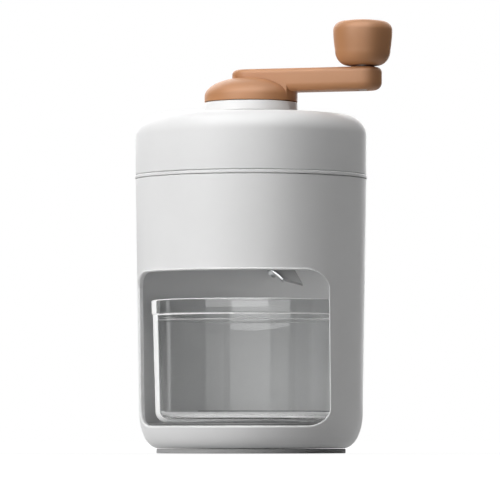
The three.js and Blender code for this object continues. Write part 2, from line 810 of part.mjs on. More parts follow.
// Crank: a domed hub with a slot for the arm, which grips the hub by a tongue that reaches its foot
const crankScrewPlaces = aroundAxis(crankScrewCount, crankScrewCircleRadius);
const crankHeadBottom = hubBottom + seatGap;

// A plan of the arm: straight sides and two round ends, made wider or narrower all round by one distance
function armPlan(grow) {
  const radius = armHalfWidth + grow;
  const shape = new THREE.Shape();
  shape.absarc(0, 0, radius, Math.PI / 2, Math.PI * 3 / 2);
  shape.absarc(armReach, 0, radius, -Math.PI / 2, Math.PI / 2);
  return shape;
}

function armSolid(grow, bottom, top) {
  const options = { depth: top - bottom, bevelEnabled: false, curveSegments: smallSegments / 2 };
  return new THREE.ExtrudeGeometry(armPlan(grow), options).translate(0, 0, bottom);
}

// The arm's outline in rings: narrower at its rounded lower and upper edges
function armRings() {
  const under = arc([-armUnderRounding, armBottom + armUnderRounding], armUnderRounding, armUnderRounding, -90, 0);
  const over = arc([-armTopRounding, armTop - armTopRounding], armTopRounding, armTopRounding, 0, 90);
  return [...under, ...over];
}

// A rounded bar: rings of one plan at growing heights, joined by side faces and closed by two caps
function armBar() {
  const rings = armRings();
  const plans = rings.map(([grow]) => armPlan(grow).getPoints(smallSegments / 2).slice(0, -1));
  const count = plans[0].length;
  const positions = rings.flatMap(([, height], ring) => plans[ring].flatMap((point) => [point.x, point.y, height]));
  const corners = [];
  for (let ring = 0; ring + 1 < rings.length; ring += 1) {
    for (let i = 0; i < count; i += 1) {
      const [here, next] = [ring * count + i, ring * count + (i + 1) % count];
      corners.push(here, next, next + count, here, next + count, here + count);
    }
  }
  const last = (rings.length - 1) * count;
  THREE.ShapeUtils.triangulateShape(plans[0], []).forEach(([a, b, c]) => {
    corners.push(a, c, b, last + a, last + b, last + c);
  });
  const bar = new THREE.BufferGeometry();
  bar.setAttribute('position', new THREE.Float32BufferAttribute(positions, 3));
  bar.setIndex(corners);
  return bar;
}

// The tongue fills the hub's round outline under the arm
function tongue(grow, bottom) {
  return block(
    [tongueSetback - grow, -armHalfWidth - grow, bottom],
    [hubRadius + cutOverrun, armHalfWidth + grow, armBottom + armUnderRounding]);
}

function crankArm() {
  const root = overlapOf(tongue(0, hubBottom + seatGap), disc(hubRadius, hubBottom, armTop, ringSegments));
  const screwHoles = crankScrewPlaces.map(([x, y]) => screwHole(
    smallScrew, armBottom - cutOverrun, crankHeadBottom + smallScrew.headHeight + smallScrew.length + seatGap)
    .translate(x, y, 0));
  const axleHole = disc(axleRadius + seatGap, axleBottom - seatGap, armTop + cutOverrun, smallSegments);
  const headTop = armBottom + axleScrew.headHeight + seatGap;
  const axleScrewHole = screwHole(axleScrew, armBottom - cutOverrun, axleBottom);
  const axleHeadRecess = headRecess(axleScrew, armBottom - cutOverrun, headTop);
  const knobEnd = [axleHole, axleScrewHole, axleHeadRecess].map((tool) => tool.translate(armReach, 0, 0));
  return cut(join(armBar(), root), ...screwHoles, ...knobEnd);
}

function crankHub() {
  const domeBottom = hubBottom + hubSideHeight;
  const dome = arc([0, domeBottom], hubRadius, hubDomeHeight, 0, 90, cornerSteps * 2);
  const blank = revolve([[0, hubBottom], [hubRadius, hubBottom], ...dome.slice(0, -1),
    [0, domeBottom + hubDomeHeight]], ringSegments);
  const recess = disc(shaftFlangeRadius + seatGap, hubBottom - cutOverrun, hubRecessTop, smallSegments);
  const armSlot = armSolid(seatGap, armBottom - seatGap, armTop);
  const tongueSlot = tongue(seatGap, hubBottom - cutOverrun);
  const holes = crankScrewPlaces.map(([x, y]) => screwHole(
    smallScrew, hubBottom, armBottom).translate(x, y, 0));
  return cut(blank, recess, armSlot, tongueSlot, ...holes);
}

function squareBar(acrossFlats, cornerRadius, bottom, top) {
  const half = acrossFlats / 2;
  return overlapOf(block([-half, -half, bottom], [half, half, top]), disc(cornerRadius, bottom, top, smallSegments));
}

function driveShaft() {
  const flange = disc(shaftFlangeRadius, shaftTop - shaftFlangeThickness, shaftTop, smallSegments);
  const journal = disc(shaftJournalRadius, journalBottom, shaftTop - shaftFlangeThickness / 2, smallSegments);
  const bar = squareBar(shaftAcrossFlats, shaftCornerRadius, shaftBottom, journalBottom + shaftFlangeThickness);
  const groove = washer(
    shaftJournalRadius - shaftGrooveDepth, shaftJournalRadius + cutOverrun,
    clipBottom - seatGap, clipTop + seatGap, smallSegments);
  const headSeat = crankHeadBottom + smallScrew.headHeight + seatGap;
  const holes = crankScrewPlaces.flatMap(([x, y]) => [
    screwHole(smallScrew, hubBottom, shaftTop + cutOverrun).translate(x, y, 0),
    headRecess(smallScrew, hubBottom - cutOverrun, headSeat).translate(x, y, 0),
  ]);
  const endHole = screwHole(endScrew, shaftBottom - cutOverrun, shaftBottom + endScrew.length);
  return cut(join(flange, journal, bar), groove, endHole, ...holes);
}

function shaftClip() {
  const inner = shaftJournalRadius - shaftGrooveDepth + seatGap;
  const ring = washer(inner, inner + clipWidth, clipBottom, clipTop, smallSegments);
  const mouth = block(
    [0, -clipMouthWidth / 2, clipBottom - cutOverrun],
    [inner + clipWidth + cutOverrun, clipMouthWidth / 2, clipTop + cutOverrun]);
  return cut(ring, mouth);
}

function springSeat() {
  const bore = shaftJournalRadius + seatGap;
  const sleeve = bore + seatSleeveWall;
  return revolveRing([
    [bore, seatBottom - seatSleeveLength],
    [sleeve, seatBottom - seatSleeveLength],
    [sleeve, seatBottom],
    [seatRadius, seatBottom],
    [seatRadius, seatTop],
    [bore, seatTop],
  ], smallSegments);
}

// The spring's wire: closer turns at both ends and an even pitch between them
class SpringCurve extends THREE.Curve {
  getPoint(share, target = new THREE.Vector3()) {
    const low = springBottom + springWireRadius;
    const high = springTop - springWireRadius;
    const turn = share * springTurns;
    const middlePitch = (high - low - 2 * springEndPitch) / (springTurns - 2);
    const middleTurns = THREE.MathUtils.clamp(turn - 1, 0, springTurns - 2);
    const endTurns = turn - middleTurns;
    const height = low + endTurns * springEndPitch + middleTurns * middlePitch;
    const angle = turn * Math.PI * 2;
    return target.set(springRadius * Math.cos(angle), springRadius * Math.sin(angle), height);
  }
}

function feedSpring() {
  const section = new THREE.Shape(aroundAxis(springSides, springWireRadius).map(([x, y]) => new THREE.Vector2(x, y)));
  const options = { steps: springTurns * springStepsPerTurn, extrudePath: new SpringCurve(), bevelEnabled: false };
  return new THREE.ExtrudeGeometry(section, options);
}

// The least air between one turn of the spring and the next, measured on points of its wire
function springLeastGap() {
  const curve = new SpringCurve();
  const steps = springTurns * springStepsPerTurn;
  let least = Infinity;
  for (let i = 0; i + springStepsPerTurn <= steps; i += 1) {
    const here = curve.getPoint(i / steps);
    const above = curve.getPoint((i + springStepsPerTurn) / steps);
    least = Math.min(least, here.distanceTo(above) - 2 * springWireRadius);
  }
  return least;
}

// The axle is screwed up into the arm and the knob snaps over its barb and turns on it
function knobAxle() {
  const barbBottom = knobBottom + axleBarbHeight;
  const barbTop = barbBottom + axleBarbLength;
  const blank = revolve([
    [0, axleBottom],
    [axleRadius, axleBottom],
    [axleRadius, barbBottom],
    [axleBarbRadius, barbBottom],
    [axleBarbRadius, barbBottom + axleBarbLength / 2],
    [axleRadius, barbTop],
    [axleRadius / 2, barbTop + axleTipLength],
    [0, barbTop + axleTipLength],
  ], smallSegments);
  const screwTip = armBottom + axleScrew.headHeight + axleScrew.length + seatGap;
  return cut(blank, screwHole(axleScrew, axleBottom - cutOverrun, screwTip));
}

function knob() {
  const boreRadius = axleRadius + seatGap;
  const catchRadius = axleBarbRadius + seatGap;
  const catchBottom = knobBottom + axleBarbHeight - seatGap;
  const catchTop = catchBottom + axleBarbLength + axleTipLength + seatGap * 2;
  const footCorner = [knobFootRadius, knobBottom + knobFootRounding];
  const topCorner = [knobRadius - knobTopRounding, knobTop - knobCrown - knobTopRounding];
  return revolve([
    [0, catchTop],
    [catchRadius, catchTop],
    [catchRadius, catchBottom],
    [boreRadius, catchBottom],
    [boreRadius, knobBottom],
    ...arc(footCorner, knobWaistRadius - knobFootRadius, knobFootRounding, -90, 0),
    [knobWaistRadius + (knobRadius - knobWaistRadius) / 2, knobBottom + knobWaistHeight + knobFootRounding / 2],
    [knobRadius, knobBottom + knobShoulderHeight],
    ...arc(topCorner, knobTopRounding, knobTopRounding, 0, 90),
    [0, knobTop],
  ], ringSegments);
}

function crank() {
  const group = new THREE.Group();
  const knobParts = new THREE.Group();
  knobParts.position.x = armReach;
  const screwUp = piece('axle_screw', screwGeometry(axleScrew), steel);
  screwUp.position.z = armBottom;
  knobParts.add(
    screwUp,
    piece('knob_axle', knobAxle(), steel),
    piece('knob_washer', washer(
      axleRadius + seatGap, knobWasherRadius, knobWasherBottom, knobWasherBottom + knobWasherThickness,
      smallSegments), bearingPlastic),
    piece('knob', knob(), brownPlastic),
  );
  const screwUnder = piece('end_screw', screwGeometry(endScrew), steel);
  screwUnder.position.z = shaftBottom - seatGap * 2 - endWasherThickness - endScrew.headHeight;
  group.add(
    piece('crank_hub', crankHub(), brownPlastic),
    piece('crank_arm', crankArm(), brownPlastic),
    ...screwRing('crank_screw', smallScrew, crankScrewPlaces, crankHeadBottom),
    piece('drive_shaft', driveShaft(), steel),
    piece('shaft_clip', shaftClip(), steel),
    piece('spring_seat', springSeat(), bearingPlastic),
    piece('feed_spring', feedSpring(), steel),
    piece('end_washer', washer(
      endScrew.shankRadius + seatGap, endWasherRadius, shaftBottom - seatGap - endWasherThickness,
      shaftBottom - seatGap, smallSegments), steel),
    screwUnder,
    knobParts,
  );
  return group;
}

// Pusher: a toothed plate with a stiff rim and ribs, free to slide up the shaft's square length
function pusherTeeth() {
  return toothCircles.flatMap((radius, circle) => aroundAxis(
    toothCount, radius, circle * Math.PI / toothCount).map(([x, y, turn]) => {
    const tooth = new THREE.ConeGeometry(toothRadius, toothLength + pusherThickness / 2, 4);
    const centre = pusherBottom + pusherThickness / 2 - (toothLength + pusherThickness / 2) / 2;
    return tooth.rotateX(-Math.PI / 2).rotateZ(turn).translate(x, y, centre);
  }));
}

function pusherPlate() {
  const rimInner = pusherRadius - pusherRimWidth;
  const plate = revolve([
    [0, pusherBottom],
    [pusherRadius, pusherBottom],
    [pusherRadius, pusherTop + pusherRimHeight],
    [rimInner, pusherTop + pusherRimHeight],
    [rimInner, pusherTop],
    [pusherBossRadius, pusherTop],
    [pusherBossRadius, pusherTop + pusherBossHeight],
    [0, pusherTop + pusherBossHeight],
  ], ringSegments);
  const ribs = aroundAxis(pusherRibCount, 1, Math.PI / pusherRibCount).map(([, , turn]) => block(
    [pusherRibStart, -pusherRibThickness / 2, pusherBottom + pusherThickness / 2],
    [rimInner + pusherRimWidth / 2, pusherRibThickness / 2, pusherTop + pusherRibHeight]).rotateZ(turn));
  const bore = squareBar(
    shaftAcrossFlats + seatGap * 2, shaftCornerRadius + seatGap,
    pusherBottom - cutOverrun, pusherTop + pusherBossHeight + cutOverrun);
  return cut(join(plate, ...ribs, ...pusherTeeth()), bore);
}

const iceShaver = new THREE.Group();
iceShaver.add(
  foot(),
  piece('ice_chamber', iceChamber(), whitePlastic),
  piece('chamber_floor', chamberFloor(), whitePlastic),
  bladeUnit(),
  cup(),
  lid(),
  crank(),
  piece('pusher_plate', pusherPlate(), whitePlastic),
);
console.log(`least gap between turns of the spring: ${springLeastGap().toFixed(2)} mm`);

export default iceShaver;
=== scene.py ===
"""Looks of a hand-cranked ice shaver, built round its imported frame.

Sizes are in millimetres. A mesh is drafted in millimetres and scaled to metres when it becomes an object.
The window faces -Y, the crank's axis is the upright axis and the arm lies along +X at rest.
"""

import logging
import math
from dataclasses import dataclass
from enum import Enum
from typing import Callable, Optional, Sequence, Union

import bmesh
import bpy
import numpy as np
from mathutils import Matrix, Vector
from mathutils.geometry import delaunay_2d_cdt


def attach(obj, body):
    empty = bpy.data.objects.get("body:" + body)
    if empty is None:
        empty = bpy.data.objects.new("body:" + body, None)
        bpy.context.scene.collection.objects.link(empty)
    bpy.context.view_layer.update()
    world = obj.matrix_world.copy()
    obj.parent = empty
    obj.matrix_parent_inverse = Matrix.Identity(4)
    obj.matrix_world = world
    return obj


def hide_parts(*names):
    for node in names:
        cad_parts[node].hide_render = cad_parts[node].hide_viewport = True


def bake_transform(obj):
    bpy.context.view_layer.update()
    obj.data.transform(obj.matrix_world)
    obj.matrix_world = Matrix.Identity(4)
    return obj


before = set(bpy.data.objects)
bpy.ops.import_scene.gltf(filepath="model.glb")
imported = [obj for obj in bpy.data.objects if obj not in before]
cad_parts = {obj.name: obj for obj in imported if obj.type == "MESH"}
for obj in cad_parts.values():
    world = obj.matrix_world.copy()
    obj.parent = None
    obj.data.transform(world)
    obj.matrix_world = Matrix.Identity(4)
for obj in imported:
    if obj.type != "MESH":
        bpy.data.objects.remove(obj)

log = logging.getLogger("ice_shaver")

Pair = tuple[float, float]
Triple = tuple[float, float, float]
Piece = bpy.types.Object
Draft = bmesh.types.BMesh

MM = 0.001
MERGE = 0.002
GAP = 0.3
SHARP = 32.0
ARC_STEP = math.radians(9)
ROUND_COLUMNS = 192
SMALL_COLUMNS = 64
LUG_TURNS = (30.0, 150.0, 270.0)
UP = (0.0, 0.0, 1.0)
PURE_WHITE = (1.0, 1.0, 1.0)
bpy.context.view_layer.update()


class Body(Enum):
    """The moving bodies of the frame."""

    HOUSING = "housing"
    CUP = "cup"
    LID = "lid"
    CRANK = "crank"
    PUSHER = "pusher"
    KNOB = "knob"


class Slot(Enum):
    """Names of the material slots."""

    WHITE = "body_white"
    BROWN = "crank_brown"
    GREY = "foot_grey"
    CLEAR = "cup_clear"
    BEARING = "bearing_plastic"
    STEEL = "steel"


class Glow(Enum):
    """What a lamp lights: dull surfaces, glossy ones, or both."""

    DULL = "dull"
    GLOSS = "gloss"
    BOTH = "both"


class Operation(Enum):
    """What a second solid does to the first."""

    CUT = "DIFFERENCE"
    JOIN = "UNION"


# Node trees


Number = Union["Value", float]


class Value:
    """A node's output that takes part in Python arithmetic by adding Math nodes."""

    def __init__(self, nodes: "Nodes", socket: bpy.types.NodeSocket) -> None:
        """Wraps one output of a node in a tree."""
        self.nodes = nodes
        self.socket = socket

    def _math(self, operation: str, *others: Number, mirrored: bool = False) -> "Value":
        """Adds one Math node; where it is mirrored, this value is its second term."""
        terms = [*others, self] if mirrored else [self, *others]
        return self.nodes.add("ShaderNodeMath", dict(enumerate(terms)), operation=operation)

    def __add__(self, other: Number) -> "Value":
        """Sum."""
        return self._math("ADD", other)

    __radd__ = __add__

    def __sub__(self, other: Number) -> "Value":
        """Difference."""
        return self._math("SUBTRACT", other)

    def __rsub__(self, other: float) -> "Value":
        """Difference with this value second."""
        return self._math("SUBTRACT", other, mirrored=True)

    def __mul__(self, other: Number) -> "Value":
        """Product."""
        return self._math("MULTIPLY", other)

    def __truediv__(self, other: Number) -> "Value":
        """Quotient."""
        return self._math("DIVIDE", other)

    def maximum(self, other: Number) -> "Value":
        """The larger of two values."""
        return self._math("MAXIMUM", other)

    def minimum(self, other: Number) -> "Value":
        """The smaller of two values."""
        return self._math("MINIMUM", other)

    def clamped(self) -> "Value":
        """The value held between 0 and 1."""
        return self.minimum(1.0).maximum(0.0)

    def below(self, limit: float) -> "Value":
        """1 where the value is less than a limit, else 0."""
        return self._math("LESS_THAN", limit)

    def size(self) -> "Value":
        """The value without its sign."""
        return self._math("ABSOLUTE")

    def sine(self) -> "Value":
        """The sine of the value in radians."""
        return self._math("SINE")

    def cosine(self) -> "Value":
        """The cosine of the value in radians."""
        return self._math("COSINE")


Term = Union[Value, float, int, str, bool, tuple, bpy.types.ID, None]


def opaque(colour: Sequence[float], share: float = 1.0) -> tuple[float, float, float, float]:
    """A colour with its alpha, made lighter or darker by a factor."""
    return (colour[0] * share, colour[1] * share, colour[2] * share, 1.0)


class Nodes:
    """A shader or geometry tree that is written as calls."""

    def __init__(self, tree: bpy.types.NodeTree) -> None:
        """Takes a tree and empties it."""
        self.tree = tree
        tree.nodes.clear()

    def add(
        self, kind: str, inputs: Optional[dict[Union[str, int], Term]] = None,
        output: Union[str, int] = 0, **settings: object,
    ) -> Value:
        """Adds a node.

        Args:
            kind: the node's type.
            inputs: values or links of its sockets, by name or number.
            output: the socket that is handed back, by name or number.
            settings: properties that are set before the sockets.

        Returns:
            The chosen output, or the node's own wrapper where it has none.
        """
        node = self.tree.nodes.new(kind)
        for name, setting in settings.items():
            setattr(node, name, setting)
        for key, term in (inputs or {}).items():
            self.feed(node.inputs[key], term)
        return Value(self, node.outputs[output] if len(node.outputs) else node)

    def feed(self, socket: bpy.types.NodeSocket, term: Term) -> None:
        """Links or sets one input.

        Args:
            socket: the input.
            term: a value to link, a list of values for a socket that takes several, or a constant.
        """
        for part in term if isinstance(term, list) else [term]:
            if isinstance(part, Value):
                self.tree.links.new(part.socket, socket)
            else:
                socket.default_value = part

    def mixed(self, factor: Term, first: Term, second: Term) -> Value:
        """Two colours mixed; the factor is the second one's share."""
        return self.add("ShaderNodeMix", {0: factor, 6: first, 7: second}, output=2, data_type="RGBA")

    def blended(self, factor: Term, first: Value, second: Value) -> Value:
        """Two shaders mixed; the factor is the second one's share."""
        return self.add("ShaderNodeMixShader", {0: factor, 1: first, 2: second})

    def diffuse(self, colour: Triple, share: float = 1.0) -> Value:
        """A dull shader, its colour made lighter or darker by a factor."""
        return self.add("ShaderNodeBsdfDiffuse", {"Color": opaque(colour, share)})

    def rays(self, kind: str) -> Value:
        """What the light path tells of a ray."""
        return self.add("ShaderNodeLightPath", output=kind)

    def place(self, kind: str = "Object") -> Value:
        """Coordinates of one kind."""
        return self.add("ShaderNodeTexCoord", output=kind)

    def vector(self, x: Term, y: Term, z: Term) -> Value:
        """Three numbers as one vector."""
        return self.add("ShaderNodeCombineXYZ", {0: x, 1: y, 2: z})

    def vector_math(self, operation: str, *terms: Term, output: Union[str, int] = 0) -> Value:
        """Adds one Vector Math node."""
        return self.add("ShaderNodeVectorMath", dict(enumerate(terms)), output, operation=operation)

    def along(self, place: Value, direction: Sequence[float]) -> Value:
        """The distance of a place along a direction."""
        return self.vector_math("DOT_PRODUCT", place, tuple(direction), output="Value")

    def distance_from_axis(self, place: Value, centre_y: float = 0.0) -> Value:
        """How far a place is from an upright axis on the line X = 0."""
        flat = self.vector_math("MULTIPLY_ADD", place, (1.0, 1.0, 0.0), (0.0, -centre_y, 0.0))
        return self.vector_math("LENGTH", flat, output="Value")

    def cone(self, sides: int, top: Term, bottom: Term, depth: Term, rows: int = 1) -> Value:
        """A cone or drum that stands on the origin, with a number of sides and of rows of faces."""
        shape = {"Vertices": sides, "Side Segments": rows, "Depth": depth}
        return self.add("GeometryNodeMeshCone", {**shape, "Radius Top": top, "Radius Bottom": bottom})

    def moved(self, part: Value, shift: Value, turn: Triple = (0.0, 0.0, 0.0)) -> Value:
        """A part of a geometry tree, turned and moved."""
        return self.add("GeometryNodeTransform", {"Geometry": part, "Translation": shift, "Rotation": turn})

    def copied(self, part: Value, points: Value, turn: Value) -> Value:
        """Copies of a part of a geometry tree at points, each with its own turn."""
        turned_by = {"Rotation": self.add("FunctionNodeEulerToRotation", {0: turn})}
        return self.add("GeometryNodeInstanceOnPoints", {"Points": points, "Instance": part, **turned_by})


# Finishes


@dataclass(frozen=True)
class Grain:
    """A noise in a finish.

    Attributes:
        scale: features per metre.
        detail: octaves.
        fineness: share of the finer octaves.
        gloss: how far it sways the roughness.
        rise: its share of the surface's bumps.
        stretch: factor along each axis.
        turn: turn of those axes in radians.
    """

    scale: float
    detail: float = 3.0
    fineness: float = 0.5
    gloss: float = 0.0
    rise: float = 0.0
    stretch: Optional[Triple] = None
    turn: Triple = (0.0, 0.0, 0.0)

    def noise(self, place: Value) -> Value:
        """The noise, between 0 and 1.

        Args:
            place: object coordinates.

        Returns:
            The noise as a value.
        """
        if self.stretch:
            spread = {"Vector": place, "Scale": self.stretch, "Rotation": self.turn}
            place = place.nodes.add("ShaderNodeMapping", spread)
        inputs = {"Vector": place, "Scale": self.scale, "Detail": self.detail, "Roughness": self.fineness}
        return place.nodes.add("ShaderNodeTexNoise", inputs)


@dataclass(frozen=True)
class Finish:
    """What all the finishes share.

    Attributes:
        tint: factors on the colour between which the first grain mixes it.
        bump: strength of the bumps, and their height in metres.
    """

    name: str
    slot: Slot
    colour: Triple
    roughness: float
    tint: Optional[Pair] = None
    bump: Pair = (0.0, 0.0)
    specular: float = 0.5
    metallic: float = 0.0

    def grains(self) -> tuple[Grain, ...]:
        """The finish's noises."""
        raise NotImplementedError

    def paint(self, place: Value) -> dict[str, Term]:
        """The shader's sockets for this finish.

        Args:
            place: object coordinates.

        Returns:
            Socket names and what feeds them.
        """
        noises = [(grain, grain.noise(place)) for grain in self.grains()]
        colour: Term = opaque(self.colour)
        if self.tint:
            dark, light = (opaque(self.colour, share) for share in self.tint)
            colour = place.nodes.mixed(noises[0][1], dark, light)
        sways = [(noise - 0.5) * grain.gloss for grain, noise in noises if grain.gloss]
        first, *others = [noise * grain.rise for grain, noise in noises if grain.rise]
        strength, distance = self.bump
        bump = {"Strength": strength, "Distance": distance, "Height": sum(others, first)}
        return {
            "Base Color": colour, "Roughness": sum(sways, self.roughness), "Metallic": self.metallic,
            "Specular IOR Level": self.specular, "Normal": place.nodes.add("ShaderNodeBump", bump),
        }

    def material(self) -> bpy.types.Material:
        """Builds the material, or finds it if it is there.

        Returns:
            The material.
        """
        found = bpy.data.materials.get(self.name)
        if found:
            return found
        material = bpy.data.materials.new(self.name)
        material.use_nodes = True
        nodes = Nodes(material.node_tree)
        shader = nodes.add("ShaderNodeBsdfPrincipled", self.paint(nodes.place()))
        nodes.add("ShaderNodeOutputMaterial", {"Surface": self.surface(shader)})
        return material

    def surface(self, shader: Value) -> Value:
        """What reaches the material's output; a finish may wrap its shader here."""
        return shader


@dataclass(frozen=True)
class MouldedPlastic(Finish):
    """Satin moulding: a fine spark-eroded grain, faint flow clouds and slightly uneven gloss."""

    tint: Optional[Pair] = (0.97, 1.03)
    bump: Pair = (0.06, 0.0004)

    def grains(self) -> tuple[Grain, ...]:
        """Clouds, the eroded grain and a coarser one under it."""
        fine, coarse = Grain(2600.0, 2.0, gloss=0.06, rise=0.7), Grain(2600.0 / 6, 2.0, rise=0.3)
        return (Grain(38.0, gloss=0.1), fine, coarse)


@dataclass(frozen=True)
class PaintedHighlightEdge(MouldedPlastic):
    """The same moulding with a painted highlight: a dull white shader brighter than white, mixed over it,
    makes the edge brighter than the wall beside it.
    """

    painted_highlight: float = 1.25
    painted_highlight_share: float = 0.85

    def surface(self, shader: Value) -> Value:
        """The moulding with the painted highlight mixed over it."""
        # Painted highlight: a dull white shader at more than full brightness.
        bright = shader.nodes.diffuse(PURE_WHITE, self.painted_highlight)
        return shader.nodes.blended(self.painted_highlight_share, shader, bright)


@dataclass(frozen=True)
class Elastomer(Finish):
    """Soft grey rubber: dull, slightly speckled, with a soft uneven skin."""

    tint: Optional[Pair] = (0.9, 1.08)
    bump: Pair = (0.15, 0.0004)
    specular: float = 0.1

    def grains(self) -> tuple[Grain, ...]:
        """Speckles and the skin."""
        return (Grain(1400.0, fineness=0.65, rise=0.5), Grain(300.0, gloss=0.15, rise=1.0))


@dataclass(frozen=True)
class ClearPlastic(Finish):
    """Clear moulded plastic with real walls; light for what stands behind passes through it.

    Attributes:
        lines: height, share of the painted highlight and half width of each highlight line; lengths here are
            in metres.
        skin_start: how far a wall is turned away where the painted highlight on its skin starts.
        outer_wall: radius that parts the outer wall from the inner one.
        corner_top: height below which everything counts as outer wall.
        shadow_light: share of a lamp's light that passes through.
    """

    bump: Pair = (0.003, 0.001)
    refraction: float = 1.49
    rim_top: float = 0.0905
    rim_band: float = 0.0006
    # Painted highlight lines: the rim's foot, the mouth's ledge and two rings at the base.
    lines: tuple[Triple, ...] = (
        (0.0817, 0.9, 0.0002), (0.0784, 0.4, 0.0), (0.0225, 0.4, 0.0), (0.0192, 0.6, 0.0007),
    )
    line_sharpness: float = 4000.0
    edge_highlight_share: float = 0.9
    edge_highlight_strength: float = 1.15
    skin_highlight_share: float = 0.9
    skin_start: float = 0.68
    skin_sharpness: float = 40.0
    outer_wall: float = 0.0549
    corner_top: float = 0.0245
    centre_y: float = -0.004
    shadow_light: float = 0.9

    def grains(self) -> tuple[Grain, ...]:
        """Long faint flow marks."""
        return (Grain(55.0, 1.0, rise=1.0, stretch=(1.0, 1.0, 0.25)),)

    def paint(self, place: Value) -> dict[str, Term]:
        """The shader's sockets, with light passing through."""
        return {**super().paint(place), "Transmission Weight": 1.0, "IOR": self.refraction}

    def edges(self, place: Value) -> Value:
        """Where white is painted on the thick edges as a highlight: the rim, the mouth's ledge and the base's
        ring.

        Args:
            place: object coordinates.

        Returns:
            1 on the edges, else 0.
        """
        height = place.nodes.along(place, UP)
        marks = ((height - self.rim_top + self.rim_band) * self.line_sharpness).clamped()
        for level, share, width in self.lines:
            beside = (height - level).size() - width
            marks = marks.maximum((1 - beside * self.line_sharpness).clamped() * share)
        return marks

    def outside(self, place: Value) -> Value:
        """1 on the outer wall and the round foot, 0 on the inner wall."""
        inner = place.nodes.distance_from_axis(place, self.centre_y).below(self.outer_wall)
        return 1 - inner * (1 - place.nodes.along(place, UP).below(self.corner_top))

    def surface(self, shader: Value) -> Value:
        """Paints white highlights on thick edges and on skins seen along their length, and lets lamps through
        thin walls.

        Args:
            shader: the plastic's own shader.

        Returns:
            The shader that reaches the output.
        """
        nodes = shader.nodes
        place = nodes.place()
        facing = nodes.add("ShaderNodeLayerWeight", {"Blend": 0.5}, output="Facing")
        # Painted highlight on the skin where a wall is seen along its length.
        skin = ((facing - self.skin_start) * self.skin_sharpness).clamped() * self.skin_highlight_share
        painted_highlight_mask = (self.edges(place) * self.edge_highlight_share).maximum(skin * self.outside(place))
        # The painted highlight: a dull white shader brighter than white, mixed over the plastic.
        painted_highlight_shader = nodes.blended(painted_highlight_mask, shader, nodes.diffuse(PURE_WHITE, self.edge_highlight_strength))
        open_air = nodes.add("ShaderNodeBsdfTransparent", {"Color": opaque(PURE_WHITE, self.shadow_light)})
        return nodes.blended(nodes.rays("Is Shadow Ray"), painted_highlight_shader, open_air)


@dataclass(frozen=True)
class BrushedSteel(Finish):
    """Stainless steel with fine marks left along one direction."""

    tint: Optional[Pair] = (0.92, 1.05)
    bump: Pair = (0.12, 0.0002)
    metallic: float = 1.0
    marks: Triple = (1.0, 1.0, 40.0)
    turn: Triple = (0.0, 0.0, 0.0)

    def grains(self) -> tuple[Grain, ...]:
        """Stains and the brushed marks."""
        marks = Grain(120.0, 5.0, 0.7, gloss=0.25, rise=1.0, stretch=self.marks, turn=self.turn)
        return (Grain(90.0, gloss=0.08), marks)


@dataclass(frozen=True)
class GroundBlade(BrushedSteel):
    """Blade steel whose ground bevel is brighter and scratched across the edge.

    Attributes:
        slope: direction down the blade's face.
        edge_at: distance of its edge along that direction, in metres.
        polish: how much less rough the bevel is.
    """

    slope: Triple = (0.0, 0.0, -1.0)
    edge_at: float = 0.0
    bevel: float = 0.0024
    bevel_sharpness: float = 5000.0
    polish: float = 0.05

    def paint(self, place: Value) -> dict[str, Term]:
        """The steel's sockets with the bevel over them.

        Args:
            place: object coordinates.

        Returns:
            Socket names and what feeds them.
        """
        sockets = super().paint(place)
        from_edge = place.nodes.along(place, self.slope) - self.edge_at
        ground = (1 - (from_edge - self.bevel) * self.bevel_sharpness).clamped()
        bright = opaque(self.colour, self.tint[1])
        sockets["Base Color"] = place.nodes.mixed(ground, sockets["Base Color"], bright)
        sockets["Roughness"] = sockets["Roughness"] - ground * self.polish
        return sockets


WHITE = MouldedPlastic("white_moulding", Slot.WHITE, (0.80, 0.80, 0.80), 0.42, specular=0.25)
# Inner skin of the shell: duller, as a rougher skin, and darker than the outer moulding as painted shade.
WHITE_INSIDE_SHADED = MouldedPlastic("white_inside_wall_painted_shade", Slot.WHITE, (0.64, 0.64, 0.64), 0.6, specular=0.08)
# The window's lip: whiter than the wall and painted with a highlight.
WHITE_LIP_HIGHLIGHT = PaintedHighlightEdge("white_window_lip_painted_highlight", Slot.WHITE, (0.97, 0.97, 0.97), 0.3, specular=1.0)
BROWN = MouldedPlastic(
    "brown_moulding", Slot.BROWN, (0.44, 0.207, 0.092), 0.45, (0.95, 1.05), (0.1, 0.0004), 0.32
)
# The blade's block is white moulding painted mid grey for the shade it sits in under the chamber's floor.
BLOCK_PAINTED_SHADE = MouldedPlastic("grey_painted_shade_moulding", Slot.WHITE, (0.38, 0.38, 0.38), 0.5)
# The tray is white moulding painted nearly black, so its front edge shows the shade of the gap under the cup.
TRAY_PAINTED_SHADE = MouldedPlastic("dark_grey_painted_shade_moulding", Slot.WHITE, (0.11, 0.11, 0.11), 0.5)
GREY = Elastomer("grey_rubber", Slot.GREY, (0.40, 0.40, 0.40), 0.6)
# The cup's finish paints white highlights on its thick edges and along its turned-away skin.
CLEAR = ClearPlastic("clear_cup_plastic", Slot.CLEAR, (0.93, 0.935, 0.935), 0.02)
BEARING = MouldedPlastic("bearing_plastic", Slot.BEARING, (0.70, 0.67, 0.60), 0.4, bump=(0.04, 0.0004))
# The thin washer under the knob is painted nearly black as the shade of the gap between knob and arm.
GAP_SHADE_BEARING = MouldedPlastic("knob_gap_painted_shade", Slot.BEARING, (0.10, 0.06, 0.04), 0.5, specular=0.2)
TURNED_STEEL = BrushedSteel("turned_steel", Slot.STEEL, (0.60, 0.61, 0.62), 0.3)
SPRING_STEEL = BrushedSteel("spring_wire", Slot.STEEL, (0.52, 0.53, 0.54), 0.28, marks=(2.0, 2.0, 2.0))


# Meshes


